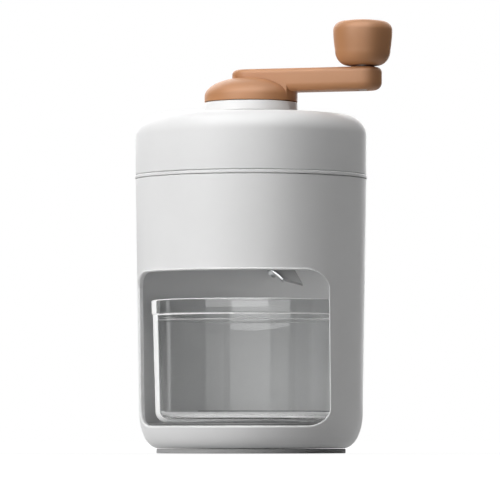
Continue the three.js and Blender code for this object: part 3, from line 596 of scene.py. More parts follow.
@dataclass(frozen=True)
class Knee:
    """A corner of a turned profile.

    Attributes:
        radius: distance from the axis.
        height: height above the floor.
        rounding: radius of its fillet.
        square: True where the section follows the shaft's flats.
    """

    radius: float
    height: float
    rounding: float = 0.0
    square: bool = False


def knees(*rows: Sequence[float]) -> list[Knee]:
    """A profile from rows of radius, height and perhaps rounding."""
    return [Knee(*row) for row in rows]


def quarter(centre: Pair, reach: float, rise: float, start: float, end: float, steps: int) -> list[Knee]:
    """Points of an ellipse's arc about a centre, from one angle in degrees to another."""
    angles = np.radians(np.linspace(start, end, steps + 1))
    return [Knee(centre[0] + reach * math.cos(a), centre[1] + rise * math.sin(a)) for a in angles]


def filleted(profile: Sequence[Knee], closed: bool) -> list[Knee]:
    """Rounds the corners of a profile.

    Args:
        profile: the corners in order.
        closed: True where the last corner meets the first.

    Returns:
        The points of the rounded profile.
    """
    rounded: list[Knee] = []
    for index, knee in enumerate(profile):
        if knee.rounding == 0 or (not closed and index in (0, len(profile) - 1)):
            rounded.append(knee)
            continue
        here = Vector((knee.radius, knee.height))
        before, after = profile[index - 1], profile[(index + 1) % len(profile)]
        back = Vector((before.radius, before.height)) - here
        ahead = Vector((after.radius, after.height)) - here
        half = back.angle(ahead) / 2
        reach = min(knee.rounding / math.tan(half), back.length * 0.49, ahead.length * 0.49)
        centre = here + (back.normalized() + ahead.normalized()).normalized() * reach / math.cos(half)
        first = here + back.normalized() * reach - centre
        last = here + ahead.normalized() * reach - centre
        turn = math.pi - 2 * half
        steps = max(2, math.ceil(turn / ARC_STEP))
        for step in range(steps + 1):
            share = step / steps
            arm = (first * math.sin((1 - share) * turn) + last * math.sin(share * turn)) / math.sin(turn)
            rounded.append(Knee(centre.x + arm.x, centre.y + arm.y, 0.0, knee.square))
    return rounded


def square_reach(angles: np.ndarray, corner: float, flats: float) -> np.ndarray:
    """How far a square section with turned corners reaches at each angle."""
    widest = np.maximum(np.abs(np.cos(angles)), np.abs(np.sin(angles)))
    return np.minimum(flats / 2 / widest, corner)


def lofted(rings: Sequence[np.ndarray], closed: bool = False, capped: bool = False) -> Draft:
    """Joins rings of points by faces.

    Args:
        rings: rings with as many points each.
        closed: True where the last ring meets the first.
        capped: True where the two end rings are filled.

    Returns:
        The mesh, in millimetres.
    """
    mesh = bmesh.new()
    rows = [[mesh.verts.new(point) for point in ring] for ring in rings]
    pairs = list(zip(rows, rows[1:]))
    if closed:
        pairs.append((rows[-1], rows[0]))
    for low, high in pairs:
        for i in range(len(low)):
            j = (i + 1) % len(low)
            mesh.faces.new((low[i], low[j], high[j], high[i]))
    if capped:
        mesh.faces.new(rows[0])
        mesh.faces.new(rows[-1])
    return mesh


def turned(
    profile: Sequence[Knee],
    closed: bool = False,
    columns: int = ROUND_COLUMNS,
    centre: Pair = (0.0, 0.0),
    flats: float = 0.0,
) -> Draft:
    """Turns a profile about an upright axis.

    Args:
        profile: corners that start and end on the axis, or go round a bore.
        closed: True where they go round a bore.
        columns: faces round the axis.
        centre: X and Y of the axis.
        flats: distance across the flats of square sections.

    Returns:
        The mesh, in millimetres.
    """
    angles = np.linspace(0, 2 * math.pi, columns, endpoint=False)
    rings = []
    for knee in filleted(profile, closed):
        reach = square_reach(angles, knee.radius, flats) if knee.square else knee.radius
        x, y = centre[0] + reach * np.cos(angles), centre[1] + reach * np.sin(angles)
        rings.append(np.column_stack((x, y, np.full(columns, knee.height))))
    return lofted(rings, closed)


def plug(*corners: Sequence[float], centre: Pair = (0.0, 0.0)) -> Draft:
    """A small turned solid through corners of radius, height and perhaps rounding, closed on its axis."""
    profile = knees((0.0, corners[0][1]), *corners, (0.0, corners[-1][1]))
    return turned(profile, columns=SMALL_COLUMNS, centre=centre)


def prism(outline: Sequence[Sequence[float]], low: float, high: float) -> Draft:
    """An upright prism over an outline in X and Y, between two heights."""
    return lofted([np.array([(x, y, z) for x, y in outline]) for z in (low, high)], capped=True)


def boxes_round(low: Triple, high: Triple) -> list[Draft]:
    """A box at the turn of each lug about the upright axis.

    Args:
        low: its lowest corner before the turn.
        high: its highest corner before the turn.

    Returns:
        The boxes, in millimetres.
    """
    outline = [(low[0], low[1]), (high[0], low[1]), (high[0], high[1]), (low[0], high[1])]
    boxes = [prism(outline, low[2], high[2]) for _ in LUG_TURNS]
    for box, turn in zip(boxes, LUG_TURNS):
        box.transform(Matrix.Rotation(math.radians(turn), 4, "Z"))
    return boxes


def round_places(count: int, radius: float, first: float = 0.0) -> list[Pair]:
    """X and Y of places round the axis, from a first turn in radians."""
    turns = [first + 2 * math.pi * i / count for i in range(count)]
    return [(radius * math.cos(turn), radius * math.sin(turn)) for turn in turns]


def rescale(draft: Draft, factor: float) -> None:
    """Scales a draft about the origin."""
    bmesh.ops.scale(draft, vec=(factor, factor, factor), verts=draft.verts)


def shade(mesh: bpy.types.Mesh, sharp: float) -> None:
    """Shades a mesh smooth but for its edges that are sharper than an angle in degrees."""
    mesh.polygons.foreach_set("use_smooth", [True] * len(mesh.polygons))
    mesh.set_sharp_from_angle(angle=math.radians(sharp))


def linked(name: str, data: bpy.types.ID) -> Piece:
    """Makes an object in the scene.

    Args:
        name: the object's name.
        data: its mesh, lamp or camera.

    Returns:
        The new object, at the origin.
    """
    piece = bpy.data.objects.new(name, data)
    bpy.context.scene.collection.objects.link(piece)
    return piece


def make(name: str, draft: Draft, sharp: float = SHARP) -> Piece:
    """Makes an object from a draft: doubles merged, faces outwards, in metres.

    Args:
        name: the object's name.
        draft: the mesh in millimetres, which is used up.
        sharp: angle in degrees from which an edge is sharp.

    Returns:
        The new object, at the origin.
    """
    bmesh.ops.remove_doubles(draft, verts=draft.verts, dist=MERGE)
    bmesh.ops.dissolve_degenerate(draft, edges=draft.edges, dist=MERGE / 10)
    bmesh.ops.recalc_face_normals(draft, faces=draft.faces)
    rescale(draft, MM)
    mesh = bpy.data.meshes.new(name)
    draft.to_mesh(mesh)
    draft.free()
    shade(mesh, sharp)
    return linked(name, mesh)


def ring(
    name: str, *corners: Sequence[float], columns: int = SMALL_COLUMNS, centre: Pair = (0.0, 0.0)
) -> Piece:
    """A turned piece with a bore, through corners of radius, height and perhaps rounding."""
    return make(name, turned(knees(*corners), closed=True, columns=columns, centre=centre))


def washer(
    name: str, bore: float, radius: float, heights: Pair, eases: Pair, centre: Pair = (0.0, 0.0)
) -> Piece:
    """A flat washer between two heights.

    Args:
        name: the piece's name.
        bore: radius of its bore.
        radius: radius of its rim.
        heights: its foot and its top.
        eases: roundings of the bore's edges and of the rim's.
        centre: X and Y of its axis.

    Returns:
        The piece.
    """
    (low, high), (inner, outer) = heights, eases
    corners = (bore, low, inner), (radius, low, outer), (radius, high, outer), (bore, high, inner)
    return ring(name, *corners, centre=centre)


def settle(piece: Piece) -> Piece:
    """Turns a piece with modifiers into a plain mesh.

    Args:
        piece: the piece.

    Returns:
        The same piece without modifiers.
    """
    bpy.context.view_layer.update()
    evaluated = piece.evaluated_get(bpy.context.evaluated_depsgraph_get())
    mesh = bpy.data.meshes.new_from_object(evaluated)
    piece.modifiers.clear()
    old = piece.data
    piece.data = mesh
    bpy.data.meshes.remove(old)
    shade(mesh, SHARP)
    return piece


def combine(piece: Piece, operation: Operation, drafts: Sequence[Draft]) -> Piece:
    """Cuts solids out of a piece or joins them to it.

    Args:
        piece: the piece that changes.
        operation: cut or join.
        drafts: the other solids in millimetres, which are used up.

    Returns:
        The changed piece.
    """
    tools = [make(f"{piece.name}_tool", draft) for draft in drafts]
    for tool in tools:
        modifier = piece.modifiers.new(operation.name, "BOOLEAN")
        modifier.operation = operation.value
        modifier.solver = "EXACT"
        modifier.object = tool
    settle(piece)
    for tool in tools:
        bpy.data.objects.remove(tool)
    return piece


def eased(piece: Piece, width: float, angle: float = 40.0) -> Piece:
    """Rounds a piece's sharp edges.

    Args:
        piece: the piece.
        width: the bevel's width in millimetres.
        angle: angle in degrees from which an edge is rounded.

    Returns:
        The rounded piece.
    """
    modifier = piece.modifiers.new("ease", "BEVEL")
    modifier.width = width * MM
    modifier.segments = 2
    modifier.limit_method = "ANGLE"
    modifier.angle_limit = math.radians(angle)
    modifier.harden_normals = False
    return settle(piece)


def refined(node: str, name: str, width: float) -> Piece:
    """Copies a CAD node with its edges rounded.

    Args:
        node: the CAD node.
        name: the new piece's name.
        width: the rounding's width in millimetres.

    Returns:
        The new piece.
    """
    draft = bmesh.new()
    draft.from_mesh(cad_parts[node].data)
    rescale(draft, 1 / MM)
    bmesh.ops.remove_doubles(draft, verts=draft.verts, dist=MERGE)
    bmesh.ops.dissolve_limit(draft, angle_limit=math.radians(0.5), verts=draft.verts, edges=draft.edges)
    return eased(make(name, draft), width)


def dress(
    piece: Piece, finish: Finish, body: Body, *nodes: str, trims: Sequence[Finish] = ()
) -> Piece:
    """Gives a piece its finish, its body and the CAD nodes that it stands for.

    Args:
        piece: the finished piece.
        finish: its finish.
        body: the body it moves with.
        nodes: the CAD nodes it replaces.
        trims: finishes of the faces that are marked with the second place and on.

    Returns:
        The same piece.
    """
    piece.data.materials.clear()
    piece.data.materials.append(finish.material())
    for trim in trims:
        piece.data.materials.append(trim.material())
    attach(piece, body.value)
    if nodes:
        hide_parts(*nodes)
    log.info("%s: %d faces", piece.name, len(piece.data.polygons))
    return piece


# Geometry trees


class Generator:
    """A Geometry Nodes tree with named inputs that turns a seed mesh into a plain one."""

    def __init__(self, name: str, lengths: Sequence[str], counts: Sequence[str] = ()) -> None:
        """Starts the tree.

        Args:
            name: the tree's name.
            lengths: names of the inputs that are lengths.
            counts: names of the inputs that are whole numbers.
        """
        self.tree = bpy.data.node_groups.new(name, "GeometryNodeTree")
        self.nodes = Nodes(self.tree)
        self.lengths = tuple(lengths)
        kinds = {"Geometry": "NodeSocketGeometry", "Material": "NodeSocketMaterial"}
        kinds |= dict.fromkeys(lengths, "NodeSocketFloat") | dict.fromkeys(counts, "NodeSocketInt")
        self.keys: dict[str, str] = {}
        for label, kind in kinds.items():
            socket = self.tree.interface.new_socket(label, in_out="INPUT", socket_type=kind)
            self.keys[label] = socket.identifier
        self.tree.interface.new_socket("Geometry", in_out="OUTPUT", socket_type="NodeSocketGeometry")
        self.group = self.tree.nodes.new("NodeGroupInput")

    def given(self, label: str) -> Value:
        """A named input inside the tree."""
        return Value(self.nodes, self.group.outputs[label])

    def sizes(self) -> list[Value]:
        """The inputs that are lengths, in their order."""
        return [self.given(label) for label in self.lengths]

    def finish(self, geometry: Value) -> None:
        """Ends the tree with Realize Instances and Set Material.

        Args:
            geometry: what the tree has made.
        """
        real = self.nodes.add("GeometryNodeRealizeInstances", {0: geometry})
        dressed = {"Geometry": real, "Material": self.given("Material")}
        self.nodes.add("NodeGroupOutput", {0: self.nodes.add("GeometryNodeSetMaterial", dressed)})

    def run(self, seed: Piece, finish: Finish, sizes: Sequence[float], counts: Sequence[int] = ()) -> Piece:
        """Runs the tree on a seed object and leaves a plain mesh.

        Args:
            seed: the object that carries the seed mesh.
            finish: what the tree's own parts are made of.
            sizes: its lengths in millimetres, in their order.
            counts: its whole numbers, in their order.

        Returns:
            The seed object with its new mesh.
        """
        modifier = seed.modifiers.new(self.tree.name, "NODES")
        modifier.node_group = self.tree
        values = [None, finish.material(), *(size * MM for size in sizes), *counts]
        for key, value in list(zip(self.keys.values(), values))[1:]:
            modifier[key] = value
        return settle(seed)


@dataclass(frozen=True)
class ScrewSize:
    """One kind of screw, in millimetres."""

    head_radius: float
    head_height: float
    shank_radius: float
    length: float


CASE_SCREW = ScrewSize(3.0, 1.2, 1.4, 7.4)
BLADE_SCREW = ScrewSize(3.0, 1.6, 1.3, 7.0)
HOLDER_SCREW = ScrewSize(3.0, 1.6, 1.4, 8.0)
COLLAR_SCREW = ScrewSize(3.0, 1.4, 1.3, 6.6)
SMALL_SCREW = ScrewSize(2.6, 1.0, 1.3, 10.0)
AXLE_SCREW = ScrewSize(3.6, 1.8, 1.6, 10.0)
END_SCREW = ScrewSize(4.0, 1.8, 1.7, 9.0)


@dataclass
class ScrewPlaces:
    """Where the screws of one kind stand: the middle of each head and the turn that points its shank."""

    size: ScrewSize
    places: list[tuple[Triple, Triple]]


@dataclass
class ScrewMaker:
    """Makes cross-headed screws at given places with one geometry tree.

    Attributes:
        brim: share of its radius that a head keeps at its outer face.
        cross: length and width of the cross to the head's radius, and its depth to the head's height.
    """

    brim: float = 0.66
    cross: Triple = (1.15, 0.2, 1.1)
    head_sides: int = 32
    head_rows: int = 5
    shank_sides: int = 24

    def __post_init__(self) -> None:
        """Writes the tree: a head with a cross in it, a shank and a tip, set on every seed point."""
        labels = ("Head Radius", "Head Height", "Shank Radius", "Length")
        self.generator = Generator("cross_headed_screws", labels)
        nodes = self.generator.nodes
        head_radius, head_height, shank_radius, length = self.generator.sizes()
        drum = nodes.cone(self.head_sides, head_radius, head_radius, head_height, self.head_rows)
        spot = nodes.add("GeometryNodeInputPosition")
        rise = nodes.along(spot, UP) / head_height
        swell = (rise * (math.pi / 2)).sine() * (1 - self.brim) + self.brim
        domed = nodes.vector_math("MULTIPLY", spot, nodes.vector(swell, swell, 1.0))
        blank = nodes.add("GeometryNodeSetPosition", {"Geometry": drum, "Position": domed})
        shank = nodes.cone(self.shank_sides, shank_radius, shank_radius, length - shank_radius)
        tip = nodes.cone(self.shank_sides, 0.0, shank_radius, shank_radius)
        reach, width, depth = self.cross
        long_side, short_side = head_radius * reach, head_radius * width
        bars = [
            nodes.add("GeometryNodeMeshCube", {"Size": nodes.vector(x, y, head_height * depth)})
            for x, y in ((long_side, short_side), (short_side, long_side))
        ]
        sides = {"Mesh 1": blank, "Mesh 2": bars}
        head = nodes.add("GeometryNodeMeshBoolean", sides, operation="DIFFERENCE", solver="EXACT")
        raised = nodes.moved(tip, nodes.vector(0.0, 0.0, length - shank_radius))
        joined = nodes.add("GeometryNodeJoinGeometry", {0: [shank, raised]})
        stem = nodes.moved(joined, nodes.vector(0.0, 0.0, head_height))
        screw = nodes.add("GeometryNodeJoinGeometry", {0: [head, stem]})
        turn = nodes.add(
            "GeometryNodeInputNamedAttribute", {"Name": "turn"}, output="Attribute", data_type="FLOAT_VECTOR"
        )
        self.generator.finish(nodes.copied(screw, self.generator.given("Geometry"), turn))

    def build(self, name: str, groups: Sequence[ScrewPlaces]) -> Piece:
        """Makes one piece of all the screws of a body.

        Args:
            name: the piece's name.
            groups: the kinds of screw and their places.

        Returns:
            The piece.
        """
        whole = bmesh.new()
        for group in groups:
            mesh = bpy.data.meshes.new(name)
            mesh.from_pydata([tuple(MM * c for c in place) for place, _ in group.places], [], [])
            turns = mesh.attributes.new("turn", "FLOAT_VECTOR", "POINT")
            turns.data.foreach_set("vector", [c for _, turn in group.places for c in turn])
            seed = linked(f"{name}_seed", mesh)
            size = group.size
            sizes = (size.head_radius, size.head_height, size.shank_radius, size.length)
            self.generator.run(seed, TURNED_STEEL, sizes)
            whole.from_mesh(seed.data)
            bpy.data.objects.remove(seed)
        rescale(whole, 1 / MM)
        return make(name, whole)


def upright(places: Sequence[Pair], height: float) -> list[tuple[Triple, Triple]]:
    """Screw places whose shanks point up."""
    return [((x, y, height), (0.0, 0.0, 0.3 * i)) for i, (x, y) in enumerate(places)]


# Sub-assemblies


@dataclass
class Housing:
    """The foot, the shell with its window and the tray that the cup stands on."""

    foot_radius: float = 56.1
    foot_height: float = 2.7
    shell_bottom: float = 3.0
    corner_inset: float = 11.3
    corner_height: float = 21.0
    waist_radius: float = 66.3
    top_radius: float = 68.6
    top_height: float = 162.5
    wall: float = 3.3
    opening_radius: float = 51.5
    flange_bottom: float = 6.0
    flange_top: float = 8.4
    flange_radius: float = 46.0
    window_half_width: float = 58.8
    window_low: float = 16.3
    window_high: float = 106.5
    window_corner: float = 10.0
    window_shift: float = -0.4
    lip_profile: tuple[Pair, ...] = (
        (1.9, 0.0), (1.6, 0.02), (1.3, 0.02), (1.0, -0.06),
        (0.7, -0.2), (0.4, -0.44), (0.15, -0.78), (0.03, -1.2),
    )
    top_bead: tuple[float, ...] = (0.0, 0.0, 0.04, 0.42, 0.74, 0.82, 0.7, 0.5)
    right_sharpness: float = 0.65
    highlight_limit: float = 0.5
    lip_depth: float = 2.8
    left_flare: float = 2.6
    patch_low: float = 10.0
    patch_high: float = 157.5
    deck_height: float = 17.7
    tray_bottom: float = 14.7
    skirt_radius: float = 55.5
    skirt_wall: float = 2.4
    cup_centre_y: float = -4.0
    stop_inner: float = 57.6
    stop_outer: float = 59.8
    stop_height: float = 6.0
    stop_half_turn: float = 50.0
    screw_circle: float = 40.0
    boss_radius: float = 4.2
    boss_bottom: float = 5.7
    boss_reach: float = 1.0
    corner_steps: int = 12
    lip_tuck: float = 0.1
    lip_spread: float = 0.35
    patch_clearance: float = 0.9
    patch_row: float = 3.0
    patch_rows_end: float = 112.0
    patch_top_rows: int = 11
    groove_radii: tuple[float, ...] = (20.0, 30.0, 40.0, 50.0)
    groove_width: float = 3.0
    groove_depth: float = 0.5

    @property
    def corner_top(self) -> float:
        """Height at which the rounded foot of the shell ends."""
        return self.shell_bottom + self.corner_height

    def outer_radius(self, height: float) -> float:
        """The shell's outer radius at a height.

        Args:
            height: height in millimetres.

        Returns:
            The radius in millimetres.
        """
        if height >= self.corner_top:
            rise = (height - self.corner_top) / (self.top_height - self.corner_top)
            return self.waist_radius + (self.top_radius - self.waist_radius) * rise
        drop = min(1.0, (self.corner_top - height) / self.corner_height)
        return self.waist_radius - self.corner_inset * (1 - math.sqrt(1 - drop * drop))

    def inner_radius(self, height: float) -> float:
        """The shell's inner radius at a height."""
        return self.outer_radius(height) - self.wall

    def window_outline(self, spacing: float = 2.5) -> list[tuple[Vector, Vector]]:
        """The window's outline in X and Z.

        Args:
            spacing: distance between points on its straight sides.

        Returns:
            Each point with the outward direction there.
        """
        half, radius = self.window_half_width, self.window_corner
        centres = [
            (half - radius, self.window_high - radius, 0.0),
            (-half + radius, self.window_high - radius, 90.0),
            (-half + radius, self.window_low + radius, 180.0),
            (half - radius, self.window_low + radius, 270.0),
        ]
        corners = []
        for x, z, first in centres:
            for step in range(self.corner_steps + 1):
                angle = math.radians(first + 90 / self.corner_steps * step)
                out = Vector((math.cos(angle), math.sin(angle)))
                corners.append((Vector((x + self.window_shift, z)) + out * radius, out))
        outline = []
        for index, (point, out) in enumerate(corners):
            outline.append((point, out))
            following, _ = corners[(index + 1) % len(corners)]
            gap = (following - point).length
            if gap > spacing * 2:
                pieces = round(gap / spacing)
                outline += [(point.lerp(following, i / pieces), out) for i in range(1, pieces)]
        return outline

    def on_wall(self, point: Vector, radius: Callable[[float], float]) -> Vector:
        """The point of the front wall that stands at given X and Z.

        Args:
            point: X and Z.
            radius: the wall's radius by height.

        Returns:
            The point in space.
        """
        reach = radius(point.y)
        return Vector((point.x, -math.sqrt(max(reach * reach - point.x * point.x, 0.0)), point.y))

    def lip_rings(self) -> list[list[Vector]]:
        """Rings of the window's edge, from the outer wall over a soft rounding to the inner wall.

        Returns:
            The rings, each with a point for every point of the outline.
        """
        rows: list[list[Vector]] = [[] for _ in range(len(self.lip_profile) + 3)]
        for point, out in self.window_outline():
            corner = point + Vector((min(out.x, 0.0) * self.left_flare, 0.0))
            depth = -self.on_wall(point, self.outer_radius).y
            across = Vector((out.x * depth / self.outer_radius(point.y), out.y))
            soft = 1.0 - self.right_sharpness * max(out.x, 0.0)
            for row, (reach, proud), bead in zip(rows, self.lip_profile, self.top_bead):
                spot = self.on_wall(corner + across * reach * soft, self.outer_radius)
                raised = proud * soft + bead * max(out.y, 0.0)
                row.append(spot + Vector((spot.x, spot.y, 0.0)).normalized() * raised)
            inside = self.on_wall(point, self.inner_radius)
            rows[-3].append(rows[-4][-1].lerp(inside, self.lip_depth / self.wall))
            rows[-2].append(inside.lerp(rows[-4][-1], self.lip_tuck))
            rows[-1].append(self.on_wall(point + out * self.lip_spread, self.inner_radius))
        return rows

    def wall_patch(
        self, mesh: Draft, radius: Callable[[float], float], hole: Sequence[Vector], place: int
    ) -> None:
        """Adds the wall's skin around the window.

        Args:
            mesh: the mesh that it is added to.
            radius: the skin's radius by height.
            hole: the points of its hole, on the skin.
            place: place of its finish in the piece's list.
        """
        low_rows = np.arange(self.patch_low, self.patch_rows_end, self.patch_row)
        top_rows = np.linspace(self.patch_rows_end, self.patch_high, self.patch_top_rows)
        heights = np.concatenate((low_rows, top_rows))
        turns = np.linspace(-math.pi, math.pi, ROUND_COLUMNS + 1)
        scale = self.waist_radius
        ring = [Vector((math.atan2(p.x, -p.y) * scale, p.z)) for p in hole]
        xs, zs = np.array(ring).T
        points = list(ring)
        for height in heights:
            for turn in turns:
                u = turn * scale
                near = np.min(np.hypot(xs - u, zs - height)) < self.patch_clearance
                if not near and not self.inside(xs, zs, u, height):
                    points.append(Vector((u, height)))
        edges = [(i, (i + 1) % len(ring)) for i in range(len(ring))]
        flat, _, faces, *_ = delaunay_2d_cdt(points, edges, [], 0, 1e-5)
        spots = []
        for p in flat:
            reach = radius(p.y)
            spots.append(mesh.verts.new((reach * math.sin(p.x / scale), -reach * math.cos(p.x / scale), p.y)))
        for face in faces:
            u = sum(flat[i].x for i in face) / len(face)
            height = sum(flat[i].y for i in face) / len(face)
            if not self.inside(xs, zs, u, height):
                mesh.faces.new([spots[i] for i in face]).material_index = place

    @staticmethod
    def inside(xs: np.ndarray, zs: np.ndarray, u: float, height: float) -> bool:
        """Whether a flat point lies in a flat outline.

        Args:
            xs: the outline's places across.
            zs: its heights.
            u: the point's place across.
            height: its height.

        Returns:
            True where it lies inside.
        """
        next_xs, next_zs = np.roll(xs, -1), np.roll(zs, -1)
        crosses = (zs > height) != (next_zs > height)
        steps = np.where(crosses, next_zs - zs, 1.0)
        at = xs + (height - zs) / steps * (next_xs - xs)
        return bool(np.count_nonzero(crosses & (u < at)) % 2)

    def shell(self) -> Piece:
        """The shell: two skins round the window, its soft lip, the rims and the flange inside its foot.

        Returns:
            The piece.
        """
        mesh = bmesh.new()
        rings = self.lip_rings()
        # Faces of the lip's rounding that take the painted highlight: all round the window but its right
        # side.
        painted_lip_faces = [out.x < self.highlight_limit for _, out in self.window_outline()]
        self.wall_patch(mesh, self.outer_radius, rings[0], 0)
        # The inner skin takes the third finish, darker as painted shade.
        self.wall_patch(mesh, self.inner_radius, rings[-1], 2)
        rows = [[mesh.verts.new(point) for point in ring] for ring in rings]
        for row, (low, high) in enumerate(zip(rows, rows[1:])):
            for i in range(len(low)):
                j = (i + 1) % len(low)
                face = mesh.faces.new((low[i], low[j], high[j], high[i]))
                face.material_index = int(painted_lip_faces[i] and row < len(self.lip_profile))
        top_rim = knees(
            (self.outer_radius(self.patch_high), self.patch_high),
            (self.top_radius, self.top_height, 0.5), (self.top_radius - self.wall, self.top_height, 0.5),
            (self.inner_radius(self.patch_high), self.patch_high),
        )
        start = math.degrees(math.asin((self.corner_top - self.patch_low) / self.corner_height))
        corner = (self.waist_radius - self.corner_inset, self.corner_top)
        foot = quarter(corner, self.corner_inset, self.corner_height, -start, -90.0, 16)
        foot += knees(
            (self.opening_radius + 0.4, self.shell_bottom),
            (self.opening_radius, self.shell_bottom + 0.4), (self.opening_radius, self.flange_bottom),
            (self.flange_radius, self.flange_bottom, 0.3), (self.flange_radius, self.flange_top, 0.3),
            (self.inner_radius(self.flange_top), self.flange_top, 0.5),
            (self.inner_radius(self.patch_low), self.patch_low),
        )
        for profile in (top_rim, foot):
            strip = turned(profile)
            strip.transform(Matrix.Rotation(math.pi / 2, 4, "Z"))
            joined = bpy.data.meshes.new("strip")
            strip.to_mesh(joined)
            strip.free()
            mesh.from_mesh(joined)
            bpy.data.meshes.remove(joined)
        return make("shell", mesh)

    def foot(self) -> Piece:
        """The rubber foot, with shallow grip grooves underneath.

        Returns:
            The piece.
        """
        profile = [Knee(0.0, 0.0)]
        depth = self.groove_depth
        for near in self.groove_radii:
            far = near + self.groove_width
            profile += knees((near, 0.0), (near, depth, 0.2), (far, depth, 0.2), (far, 0.0))
        profile += knees((self.foot_radius, 0.0, 0.6), (self.foot_radius, self.foot_height, 0.25))
        profile.append(Knee(0.0, self.foot_height))
        return make("foot", turned(profile))

    def tray(self) -> Piece:
        """The tray with its low rib behind the cup and the bosses for the base's screws.

        Returns:
            The piece.
        """
        skirt_foot = self.flange_top + GAP
        skirt_inner = self.skirt_radius - self.skirt_wall
        profile = knees(
            (0.0, self.tray_bottom), (skirt_inner, self.tray_bottom, 0.5),
            (skirt_inner, skirt_foot, 0.3), (self.skirt_radius, skirt_foot, 0.3),
            (self.skirt_radius, self.tray_bottom, 0.5),
            (self.inner_radius(self.tray_bottom) - GAP, self.tray_bottom, 0.4),
            (self.inner_radius(self.deck_height) - GAP, self.deck_height, 0.5), (0.0, self.deck_height),
        )
        radius, boss_top = self.boss_radius, self.tray_bottom + self.boss_reach
        boss = ((radius, self.boss_bottom, 0.3), (radius, boss_top))
        bosses = [plug(*boss, centre=place) for place in self.screw_places()]
        return combine(make("tray", turned(profile)), Operation.JOIN, [*bosses, self.stop_rib()])

    def stop_rib(self) -> Draft:
        """The low arc behind the cup, rounded along its top.

        Returns:
            The rib in millimetres.
        """
        low, high = self.deck_height - 1.0, self.deck_height + self.stop_height
        inner, outer = self.stop_inner, self.stop_outer
        section = filleted(knees((inner, low), (outer, low), (outer, high, 0.8), (inner, high, 0.8)), True)
        rings = []
        for turn in np.radians(np.linspace(90 - self.stop_half_turn, 90 + self.stop_half_turn, 41)):
            x, y = math.cos(turn), math.sin(turn)
            ring_points = [(k.radius * x, self.cup_centre_y + k.radius * y, k.height) for k in section]
            rings.append(np.array(ring_points))
        return lofted(rings, capped=True)

    def screw_places(self) -> list[Pair]:
        """Places of the base's screws."""
        return round_places(4, self.screw_circle, math.pi / 4)

    def build(self) -> None:
        """Builds and dresses the housing's outer pieces."""
        dress(self.foot(), GREY, Body.HOUSING, "foot_pad")
        dress(self.shell(), WHITE, Body.HOUSING, "body_shell", trims=(WHITE_LIP_HIGHLIGHT, WHITE_INSIDE_SHADED))
        dress(self.tray(), TRAY_PAINTED_SHADE, Body.HOUSING, "cup_tray")
        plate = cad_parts["base_plate"]
        plate.data.materials.clear()
        plate.data.materials.append(WHITE.material())


